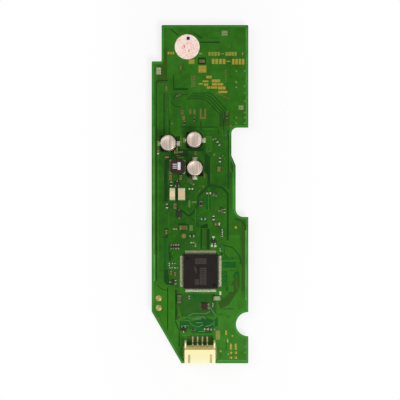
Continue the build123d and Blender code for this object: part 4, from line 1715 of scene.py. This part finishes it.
@dataclass
class ShortTracks:
    """Short tracks from the pads and leads to vias, the gaps beside them, and loose vias."""

    board: bpy.types.Object
    chips: dict[str, list[Box]]     # boxes of the chips' bodies, end caps and leads, by node
    seed: int = 7
    loose: int = 260                # how many loose vias are tried
    low: Point = (-19, -66)         # corners of the field that they are tried in
    high: Point = (19, 68)
    width: float = 0.18
    rise: float = 0.03
    gap: float = 0.46               # width of a track with the gaps on both its sides
    gap_rise: float = 0.0135

    def keep_clear(self, router: Router) -> None:
        """Keep the tracks off the other copper, the pads and the sticker.

        Args:
            router: The router.
        """
        for areas in (*CopperWork.AREAS, *PrintedCopper.PIECES):
            if areas.finish not in (Finishes.TEAL, Finishes.OLIVE):
                for shape in areas.shapes:
                    router.keep_off_area(shape)
        for run in CopperWork.RUNS:
            for line in run.lines:
                router.keep_off_line(line, run.width)
        for node in ("gold_test_pads", "tinned_pads", "inspection_sticker"):
            for box in island_boxes_of(node):
                router.keep_off_area((box.low.x, box.high.y, box.high.x, box.low.y))

    def build(self) -> None:
        """Route the tracks, then lay the gaps, the tracks and the vias."""
        router = Router(self.board, self.seed)
        self.keep_clear(router)
        router.fan_out(self.chips["main_chip_leads"], Box.of_node("main_chip_body").centre)
        for kind in ("chip_capacitor", "chip_resistor"):
            router.leave_pads(self.chips[f"{kind}_end_caps"], self.chips[f"{kind}_bodies"])
        router.scatter(self.loose, self.low, self.high)
        Finishes.CLEARANCE.dress(ribbons("stub_clearances", router.lines, self.gap, self.gap_rise), "board")
        Finishes.TRACK.dress(ribbons("stub_tracks", router.lines, self.width, self.rise), "board")
        Vias().build(router.vias)


# ------------------------------ the parts on the board


@dataclass
class RoundCapacitor:
    """Aluminium capacitor: a turned can on a moulded base, with a terminal at each end."""

    number: str
    groove_low: float = 0.75
    groove_height: float = 0.8
    groove_depth: float = 0.3
    shoulder: float = 0.4
    lip: float = 0.2                # cut off the can's lower edge
    rim: float = 0.55               # width of the raised ring round the can's top, with its round
    rim_edge: float = 0.1
    rim_foot: float = 0.22
    sunk: float = 0.06
    sides: int = 64
    base_bevel: float = 0.12

    def can(self) -> bpy.types.Object:
        """Turn the can: lower lip, rolled groove, wall, rounded shoulder and sunk top.

        Returns:
            The can.
        """
        node = f"capacitor_{self.number}_can"
        box = Box.of_node(node)
        radius, height = box.size.x / 2, box.size.z
        middle = self.groove_low + self.groove_height / 2
        profile = [(0, 0), (radius - self.lip, 0), (radius, self.lip), (radius, self.groove_low)]
        for step in range(1, 6):
            turn = math.pi * step / 6
            profile.append((radius - self.groove_depth * math.sin(turn),
                            middle - self.groove_height / 2 * math.cos(turn)))
        profile.append((radius, self.groove_low + self.groove_height))
        for step in range(5):
            turn = math.pi / 2 * step / 4
            profile.append((radius - self.shoulder * (1 - math.cos(turn)),
                            height - self.shoulder * (1 - math.sin(turn))))
        inside = radius - self.rim
        profile += [(inside - self.rim_edge, height), (inside - self.rim_foot, height - self.sunk),
                    (0, height - self.sunk)]
        piece = lathe(f"{node}_finished", profile, (box.centre.x, box.centre.y, box.low.z), self.sides)
        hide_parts(node)
        return Finishes.CAN.dress(piece, "can")

    def build(self) -> None:
        """Build the can, its base and its terminals."""
        self.can()
        # The base is near-black moulding, darkened further as painted shade round the can.
        dressed_node(f"capacitor_{self.number}_base", Finishes.BLACK_AND_SHADE, self.base_bevel, 3)
        dressed_node(f"capacitor_{self.number}_terminals", Finishes.SOLDER, 0.03)


@dataclass
class MainChip:
    """Large square flat pack, with rows of plain bars in place of its print."""

    bevel: float = 0.1
    row: float = 0.62               # height of one row of bars
    pitch: float = 0.8
    gap: float = 0.16               # between the bars of a row
    print_rise: float = 0.008
    lead_bevel: float = 0.02
    shaded: float = 0.5             # how far from the body its leads lie in its shade
    tones: Sides = (0.65, 0.3, 0.95, 1.0)   # painted light: tones of the leads on the left, the top, the right and the bottom, brightest on the rows that face the lamp
    dimple_low: float = 0.3         # deeper than the dimples in the body's top
    dimples_in: float = 0.5         # the dimples lie further than this from the body's sides

    def lit_lead_tone(self, box: Box) -> float:
        """Painted light on a lead, by the row that it stands in: the rows that face the lamp are brighter.

        Args:
            box: The lead's box.

        Returns:
            The tone.
        """
        away = box.centre - Box.of_node("main_chip_body").centre
        left, top, right, bottom = self.tones
        if abs(away.x) > abs(away.y):
            return right if away.x > 0 else left
        return top if away.y > 0 else bottom

    def bars(self, block: Sides, shares: Sequence[float]) -> list[Sides]:
        """Rows of bars that fill a block.

        Args:
            block: The block's left, top, right and bottom.
            shares: Width of each bar of a row, as shares of the block's width; each row starts one later.

        Returns:
            The bars.
        """
        left, top, right, bottom = block
        bars = []
        for index in range(int((top - bottom) / self.pitch)):
            upper, x = top - index * self.pitch, left
            for share in (*shares[index % len(shares):], *shares[:index % len(shares)]):
                end = x + share * (right - left)
                bars.append((x, upper, end - self.gap, upper - self.row))
                x = end
        return bars

    def build(self) -> None:
        """Dress the body and the leads, and lay the bars."""
        body = Box.of_node("main_chip_body")
        x, y, top = body.centre.x, body.centre.y, body.high.z
        half = body.size.x / 2
        moulding = dressed_node("main_chip_body", Finishes.CHIP, self.bevel, 2)
        # The dimples in the chip's top are painted near black: painted shade in the recesses.
        repaint(moulding, Finishes.BLACK_AND_SHADE, lambda centre, normal: top - self.dimple_low < centre.z < top - 0.02
                and max(abs(centre.x - x), abs(centre.y - y)) < half - self.dimples_in)
        leads = dressed_node("main_chip_leads", Finishes.LEADS, self.lead_bevel, 1, self.lit_lead_tone)
        repaint(leads, Finishes.LEAD_SHADE, lambda centre, normal:
                max(abs(centre.x - x), abs(centre.y - y)) < half + self.shaded)
        marks = plates("main_chip_bars", (
            *self.bars((x - 2.3, y + 5.4, x + 2.5, y + 2.4), (0.3, 0.45, 0.25)),
            *self.bars((x - 0.4, y + 1.6, x + 2.5, y - 5.6), (0.4, 0.6)),
            *self.bars((x - 2.5, y - 3.2, x - 0.5, y - 5.9), (1.0,)),
            (x - 2.6, y + 2.2, x - 2.2, y + 0.2),
            (x - 2.1, y + 1.2, x - 1.6, y - 0.6)), self.print_rise, top)
        Finishes.PRINT.dress(marks, "chip_moulding")


@dataclass
class Inductor:
    """Wire-wound choke: a ferrite spool between flanges, turns of wire, tinned corners."""

    bevel: float = 0.12
    wire: float = 0.32
    post: float = 0.62              # radius of the post, as a share of the winding's
    print_rise: float = 0.01

    def turns(self) -> bpy.types.Object:
        """Wind the wire as rings round the spool's post, stacked between the flanges.

        Returns:
            The winding.
        """
        box = Box.of_node("inductor_winding")
        outer = min(box.size.x, box.size.y) / 2
        inner = outer * self.post
        count = max(2, int(box.size.z / self.wire))
        pitch = box.size.z / count
        profile = [(inner, 0)]
        for index in range(count):
            for step in range(5):
                turn = math.pi * step / 4 - math.pi / 2
                profile.append((outer - pitch / 2 + pitch / 2 * math.cos(turn),
                                pitch * (index + 0.5) + pitch / 2 * math.sin(turn)))
        profile += [(inner, box.size.z), (inner, 0)]
        piece = lathe("inductor_winding_finished", profile, (box.centre.x, box.centre.y, box.low.z), 48)
        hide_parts("inductor_winding")
        return Finishes.WIRE.dress(piece, "copper_wire")

    def marks(self) -> None:
        """Plain print on the top: a tall bar and three short bars beside it."""
        box = Box.of_node("inductor_spool")
        x, y, top = box.centre.x, box.centre.y, box.high.z
        piece = plates("inductor_print", (
            (x + 0.1, y + 1.8, x + 1.3, y - 1.3),
            (x - 1.9, y + 1.15, x - 0.2, y + 0.85),
            (x - 1.9, y + 0.35, x - 0.2, y + 0.05),
            (x - 1.9, y - 0.45, x - 0.2, y - 0.75)), self.print_rise, top)
        Finishes.WHITE_PRINT.dress(piece, "ferrite")

    def build(self) -> None:
        """Build the spool, the turns, the tinned corners and the print."""
        dressed_node("inductor_spool", Finishes.FERRITE, self.bevel, 3)
        self.turns()
        dressed_node("inductor_terminals", Finishes.END_CAP, 0.03, tone_of=one_tone(0.5))
        self.marks()


@dataclass
class PowerHeader:
    """Side-entry header with four pins, solder ears and a moulded ivory housing."""

    bevel: float = 0.08
    ears: float = 2.1               # how far the ears reach out behind the back wall
    slope: float = 1.0              # depth of the sloping back
    ear_width: float = 0.75
    back_depth: float = 2.4         # how far down from the roof the back is in shade
    slot_low: float = 3.9           # from the middle to the near side of each slot in the roof
    slot_high: float = 5.0
    slot_depth: float = 0.3

    def build(self) -> None:
        """Dress the housing, the pins and the tabs."""
        housing = dressed_node("power_header_housing", Finishes.IVORY, self.bevel, 3)
        box = Box.of_node("power_header_housing")
        roof = box.high.z - self.bevel
        plateau = box.high.y - self.ears - self.slope
        inner = box.size.x / 2 - self.ear_width
        repaint(housing, Finishes.IVORY_BACK, lambda centre, normal: normal.z > 0.2 and centre.y > plateau
                and centre.z > box.high.z - self.back_depth and abs(centre.x) < inner)
        # The floors and walls of the slots in the roof take painted shade.
        repaint(housing, Finishes.IVORY_SLOT_SHADE, lambda centre, normal: normal.z > -0.1
                and roof - self.slot_depth < centre.z < box.high.z - self.bevel / 2
                and box.low.y + 0.5 < centre.y < plateau - 1
                and self.slot_low < abs(centre.x) < self.slot_high)
        dressed_node("power_header_pins", Finishes.PIN, 0.05)
        dressed_node("power_header_tabs", Finishes.DARK_TIN, 0.04)


@dataclass(frozen=True)
class Dressed:
    """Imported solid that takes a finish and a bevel."""

    node: str
    finish: Finish
    bevel: float = 0.04
    tone_of: Callable[[Box], float] | None = None

    def build(self) -> bpy.types.Object:
        """Dress it."""
        return dressed_node(self.node, self.finish, self.bevel, 2, self.tone_of)


def is_near(box: Box, places: Sequence[Point], reach: float = 1.5) -> bool:
    """Whether a box's middle lies within reach of one of a few places."""
    return any(math.dist((box.centre.x, box.centre.y), place) < reach for place in places)


def pad_tone(box: Box) -> float:
    """Tone of a test pad: gilded low on the board, dull near the edges and in the middle.

    Args:
        box: The pad's box.

    Returns:
        The tone.
    """
    x, y = box.centre.x, box.centre.y
    if x < 0 and -20 < y < 0:
        return 0.5 if y < -16 else 0.1
    if x > 14 and y > 25:
        return 0.25
    if x > 18:
        return 0.05
    return 0.75 if box.size.y > 3.5 else 1.0


def tinned_tone(box: Box) -> float:
    """Tone of a tinned pad or of its bumps: the one on the step is the brightest."""
    return 0.7 if box.centre.x < 0 else 0.4


def capacitor_tone(box: Box) -> float:
    """Tone of a chip capacitor: pale or olive on a few chips, drawn by its place on the others.

    Args:
        box: The body's box.

    Returns:
        The tone.
    """
    if is_near(box, SmallParts.PALE_CHIPS):
        return 1.0
    if is_near(box, SmallParts.OLIVE_CHIPS):
        return 0.6
    return 0.8 * random.Random(round(box.centre.x * 50 + box.centre.y * 9)).random()


def transistor_tone(box: Box) -> float:
    """Tone of a transistor: the one on the right side is olive, the others blackish."""
    return 1.0 if is_near(box, ((9.2, -6.8),)) else 0.0


def land_tone(box: Box) -> float:
    """Tone of a soldered land, as painted shade and highlight: dark where shade falls under the header and on
    the shaded left side of the two upper cans, bright on their lit right side.

    Args:
        box: The land's box.

    Returns:
        The tone.
    """
    # painted shade under the header
    if box.centre.y < 0:
        return 0.15
    # painted highlight on the upper cans' right lands, painted shade on their left ones
    if box.centre.y > 18:
        return 1.0 if box.centre.x > -2 or -11 < box.centre.x < -8 else 0.2
    return 0.75


def capacitor_end_tone(box: Box) -> float:
    """Tone of a chip capacitor's end cap: well tinned on a few chips, dull on the others."""
    own = drawn_tones(int(box.low.x * 90))(box)
    return 0.75 + 0.25 * own if is_near(box, SmallParts.BRIGHT_CHIPS) else 0.1 + 0.35 * own


def resistor_end_tone(box: Box) -> float:
    """Tone of a chip resistor's end cap: dull near the stepped end, bright elsewhere.

    Args:
        box: The cap's box.

    Returns:
        The tone.
    """
    own = drawn_tones(int(box.low.x * 70))(box)
    if box.centre.y > 28 or box.centre.y < -50 or is_near(box, SmallParts.DULL_CHIPS):
        return 0.2 + 0.2 * own
    return 0.8 + 0.2 * own


def split_tone(node: str, left: float, right: float) -> Callable[[Box], float]:
    """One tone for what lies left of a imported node's middle, and another for what lies right of it."""
    middle = Box.of_node(node).centre.x
    return lambda box: left if box.centre.x < middle else right


class SmallParts(Group):
    """Chips, moulded packages and pads on the component side."""

    PALE_CHIPS = ((7.1, -43.0),)
    OLIVE_CHIPS = ((-8.6, -43.4), (6.2, -0.4))
    BRIGHT_CHIPS = (
        (3.6, 0.4), (-10.3, -14.4), (-3.2, -20.0), (8.3, -23.0), (-12.7, -29.0), (7.1, -43.0),
        (-4.5, -42.7), (2.6, -55.8), (5.3, -55.9), (-17.3, 16.6), (8.3, -12.3))
    DULL_CHIPS = ((0.35, -3.9), (10.45, 24.7))
    PIECES = (
        Dressed("chip_capacitor_bodies", Finishes.BROWN_CHIP, 0.05, capacitor_tone),
        Dressed("chip_capacitor_end_caps", Finishes.END_CAP, 0.05, capacitor_end_tone),
        Dressed("chip_resistor_bodies", Finishes.WHITE_CHIP, 0.03, drawn_tones(12)),
        Dressed("chip_resistor_glazes", Finishes.GLAZE, 0.02),
        Dressed("chip_resistor_end_caps", Finishes.END_CAP, 0.05, resistor_end_tone),
        Dressed("filter_capacitor_bodies", Finishes.CREAM_CHIP, 0.1,
                split_tone("filter_capacitor_bodies", 1.0, 0.0)),
        Dressed("filter_capacitor_end_caps", Finishes.CREAM_SOLDER, 0.1),
        Dressed("resistor_network_body", Finishes.GREY_CHIP, 0.05, drawn_tones(14)),
        Dressed("resistor_network_terminals", Finishes.END_CAP, 0.03,
                split_tone("resistor_network_body", 0.45, 0.65)),
        Dressed("tantalum_capacitor_body", Finishes.TANTALUM, 0.06),
        Dressed("tantalum_capacitor_terminals", Finishes.END_CAP, 0.05,
                split_tone("tantalum_capacitor_body", 0.4, 0.0)),
        Dressed("regulator_body", Finishes.BROWN_MOULDING, 0.06),
        Dressed("regulator_leads", Finishes.END_CAP, 0.02, split_tone("regulator_body", 0.25, 0.65)),
        Dressed("transistor_bodies", Finishes.TRANSISTOR, 0.06, transistor_tone),
        Dressed("transistor_leads", Finishes.TIN, 0.02),
        Dressed("diode_bodies", Finishes.DIODE, 0.07, lambda box: 0.0 if box.centre.y > 0 else 1.0),
        Dressed("diode_leads", Finishes.END_CAP, 0.03, one_tone(0.0)),
        Dressed("gold_test_pads", Finishes.TEST_GOLD, 0.012, pad_tone),
        Dressed("tinned_pads", Finishes.LAND, 0.015, tinned_tone),
        Dressed("solder_lands", Finishes.LAND, 0.015, land_tone),
    )


RIBBONS = ("host", "pickup", "motor")


class Underside(Group):
    """Ribbon connectors, motor driver and capacitors under the board."""

    PIECES = (
        *(Dressed(f"{place}_ribbon_housing", Finishes.PALE_NYLON, 0.08) for place in RIBBONS),
        *(Dressed(f"{place}_ribbon_contacts", Finishes.CONTACT, 0.0) for place in RIBBONS),
        *(Dressed(f"{place}_ribbon_tabs", Finishes.TIN, 0.03) for place in RIBBONS),
        Dressed("motor_driver_body", Finishes.CHIP, 0.1),
        Dressed("motor_driver_leads", Finishes.TIN, 0.0),
        Dressed("motor_driver_heat_tabs", Finishes.TIN, 0.04),
        Dressed("underside_capacitor_bodies", Finishes.BROWN_CHIP, 0.05, drawn_tones(15)),
        Dressed("underside_capacitor_end_caps", Finishes.SOLDER, 0.05),
    )


@dataclass
class WireJoints:
    """Hand-soldered joints of two wires: a domed cone of solder with the wire's end in it."""

    WAIST = ((0.42, 0.36), (0.66, 0.66))        # shares of the cone's radius and of its height, from its top
    steps: int = 32
    wire: float = 0.36
    flat: float = 0.8               # radius of the wire's flat end, as a share of the wire's
    step: float = 0.06              # from the wire's end down to the solder

    def build(self) -> None:
        """Turn each joint with its hole, both cones and the stub of the wire."""
        places = island_boxes_of("wire_solder_joints")
        pieces = []
        for box in places:
            radius, height, middle = box.size.x / 2, box.size.z, box.size.z / 2
            cone = box.high.z - BOARD_TOP
            half = [(0.0, height), (self.wire * self.flat, height), (self.wire, height - self.step),
                    *((radius * out, height - cone * down) for out, down in self.WAIST),
                    (radius, height - cone), (self.wire, height - cone)]
            under = [(r, 2 * middle - z) for r, z in reversed(half)]
            pieces.append(lathe("wire_solder_joints_finished", half + under,
                                (box.centre.x, box.centre.y, box.low.z), self.steps))
        pick_up(pieces[0])
        for piece in pieces:
            piece.select_set(True)
        bpy.ops.object.join()
        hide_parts("wire_solder_joints")
        Finishes.COPPERY.dress(pieces[0], "solder")


@dataclass
class Sticker:
    """Round inspection label with a dark square and plain blushed marks."""

    sides: int = 72
    bevel: float = 0.03
    square: float = 1.3
    square_at: Point = (0.4, 3.5)   # middle of the dark square, from the label's middle
    ink: float = 0.012

    def build(self) -> None:
        """Build the label and its marks."""
        box = Box.of_node("inspection_sticker")
        radius = box.size.x / 2
        label = disc("inspection_sticker_finished", (box.centre.x, box.centre.y, box.low.z), radius,
                     box.size.z, self.sides)
        soften(label, self.bevel)
        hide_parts("inspection_sticker")
        Finishes.LABEL.dress(label, "sticker")
        x, y, half = box.centre.x, box.centre.y, self.square / 2
        left, low = x + self.square_at[0] - half, y + self.square_at[1] - half
        inked = (left, low + self.square, left + self.square, low)
        square = plates("sticker_square", (inked,), self.ink, box.high.z)
        Finishes.VIOLET_INK.dress(square, "sticker")
        dashes = plates("sticker_dashes", (
            ((x - 1.5, y + 0.8), (x - 1.1, y + 0.9), (x - 0.9, y - 0.4), (x - 1.3, y - 0.5)),
            ((x + 0.5, y - 1.0), (x + 0.9, y - 0.9), (x + 1.0, y - 2.1), (x + 0.6, y - 2.2)),
            ((x - 0.4, y + 1.5), (x + 0.4, y + 1.6), (x + 0.4, y + 1.35), (x - 0.4, y + 1.25))),
            self.ink, box.high.z)
        Finishes.RED_INK.dress(dashes, "sticker")


@dataclass
class PadBumps:
    """Low domes of solder in rows on the tinned pads."""

    radius: float = 0.42
    rise: float = 0.16
    columns: int = 2
    rows: int = 3

    def build(self) -> bpy.types.Object:
        """Turn one dome and set a grid of them on every tinned pad.

        Returns:
            One piece that holds all the domes.
        """
        pads = island_boxes_of("tinned_pads")
        turns = [math.pi / 2 * step / 4 for step in range(5)]
        profile = [(self.radius * math.sin(turn), self.rise * math.cos(turn)) for turn in turns]
        profile.append((0.0, 0.0))
        dome = lathe("pad_bumps", profile, (0, 0, pads[0].high.z), 10)
        moves = []
        for pad in pads:
            tall = pad.size.y >= pad.size.x
            counts = (self.columns, self.rows) if tall else (self.rows, self.columns)
            for i in range(counts[0]):
                for j in range(counts[1]):
                    moves.append(shift(pad.low.x + pad.size.x * (i + 0.5) / counts[0],
                                       pad.low.y + pad.size.y * (j + 0.5) / counts[1]))
        bumps = repeat(dome, moves)
        give_tones(bumps, tinned_tone)
        return Finishes.LAND.dress(bumps, "solder")


# ------------------------------ the studio


@dataclass
class Studio:
    """Pale floor, soft light and a camera that looks straight down."""

    camera_rise: float = 350.0
    camera_shift: float = -2.4
    lens: float = 76.1
    floor: float = 4000.0
    gap: float = 0.05               # between the floor and the board's lowest face
    chalk: float = 0.96             # share of the light that the floor throws back
    white_share: float = 0.78       # of the floor's look that is plain white; the rest takes the shadow
    fade_starts: float = 1.4        # where the floor starts to fade to white, in half sizes of the board
    fade_ends: float = 2.6
    key: tuple[float, ...] = (0.32, -0.42, 0.7)         # place of the main lamp, in metres
    key_size: float = 0.35
    key_power: float = 4.2
    fill: tuple[float, ...] = (-0.5, 0.2, 0.6)          # and of the weaker one
    fill_size: float = 0.5
    fill_power: float = 1.5
    sky: float = 0.36

    def seen(self, nodes: Nodes) -> bpy.types.NodeSocket:
        """Number that is 1 for the rays of the camera, of gloss and of glass, and 0 for all others.

        Args:
            nodes: The tree that needs it.

        Returns:
            The number.
        """
        rays = nodes.add("LightPath").outputs
        sharp = nodes.math("MAXIMUM", rays["Is Camera Ray"], rays["Is Glossy Ray"])
        return nodes.math("MAXIMUM", sharp, rays["Is Transmission Ray"])

    def ground(self) -> None:
        """Large pale floor that takes the board's shadow, and that fades to plain white away from it."""
        put_down()
        bpy.ops.mesh.primitive_plane_add(size=self.floor * MM, location=(0, 0, -self.gap * MM))
        floor = fixed_place("floor")
        material = bpy.data.materials.new("floor")
        material.use_nodes = True
        nodes = Nodes(material.node_tree)
        nodes.tree.nodes.clear()
        chalk = nodes.add("BsdfDiffuse")
        chalk.inputs["Color"].default_value = (*[self.chalk] * 3, 1.0)
        white = nodes.add("Emission", Strength=1.0)
        away, distance = nodes.add("VectorMath"), nodes.add("VectorMath")
        away.operation, distance.operation = "DIVIDE", "LENGTH"
        nodes.feed(away.inputs[0], nodes.add("TexCoord").outputs["Object"])
        nodes.feed(away.inputs[1], (CAD_BOX[1][0], CAD_BOX[1][1], 1.0))
        nodes.feed(distance.inputs[0], away.outputs[0])
        share = nodes.steps(distance.outputs["Value"], self.fade_starts, self.fade_ends, self.white_share)
        mix = nodes.add("MixShader", Fac=nodes.math("MULTIPLY", self.seen(nodes), share))
        nodes.feed(mix.inputs[1], chalk.outputs[0])
        nodes.feed(mix.inputs[2], white.outputs[0])
        nodes.add("OutputMaterial", Surface=mix.outputs[0])
        floor.data.materials.append(material)

    def room(self) -> None:
        """Room that lights softly, and that the camera and the metals see as plain white."""
        world = bpy.data.worlds.new("soft_room")
        world.use_nodes = True
        nodes = Nodes(world.node_tree)
        background = nodes.tree.nodes["Background"]
        nodes.feed(background.inputs["Color"], (255, 255, 255))
        nodes.feed(background.inputs["Strength"], nodes.steps(self.seen(nodes), 0.0, 1.0, self.sky))
        bpy.context.scene.world = world

    def lamp(self, name: str, place: Sequence[float], size: float, power: float) -> None:
        """Soft square lamp that points at the middle of the board.

        Args:
            name: The lamp's name.
            place: Where it stands, in metres.
            size: Its side, in metres.
            power: Its power in watts.
        """
        light = bpy.data.lights.new(name, "AREA")
        light.size = size
        light.energy = power
        lamp = bpy.data.objects.new(name, light)
        lamp.location = place
        lamp.rotation_euler = (-Vector(place)).to_track_quat("-Z", "Y").to_euler()
        bpy.context.collection.objects.link(lamp)

    def build(self) -> None:
        """Set up the floor, the light and the camera."""
        self.ground()
        self.lamp("key", self.key, self.key_size, self.key_power)
        self.lamp("fill", self.fill, self.fill_size, self.fill_power)
        self.room()
        bpy.context.scene.view_settings.view_transform = "Standard"
        camera = bpy.data.objects.new("camera", bpy.data.cameras.new("camera"))
        camera.data.lens = self.lens
        camera.data.sensor_width = 36
        camera.data.clip_start = 0.01
        camera.location = Vector((0, self.camera_shift, BOARD_TOP + self.camera_rise)) * MM
        bpy.context.collection.objects.link(camera)
        bpy.context.scene.camera = camera


def main() -> None:
    """Build the board, its copper, its parts and the studio, in that order."""
    chips = {node: island_boxes_of(node) for node in (
        "chip_capacitor_bodies", "chip_capacitor_end_caps", "chip_resistor_bodies", "chip_resistor_end_caps",
        "main_chip_leads")}
    board = BareBoard().build()
    CopperWork().build()
    ShortTracks(board, chips).build()
    PrintedCopper().build()
    for number in ("1", "2", "3"):
        RoundCapacitor(number).build()
    MainChip().build()
    Inductor().build()
    PowerHeader().build()
    PadBumps().build()
    SmallParts().build()
    WireJoints().build()
    Sticker().build()
    Underside().build()
    Studio().build()


if __name__ == "__main__":
    main()
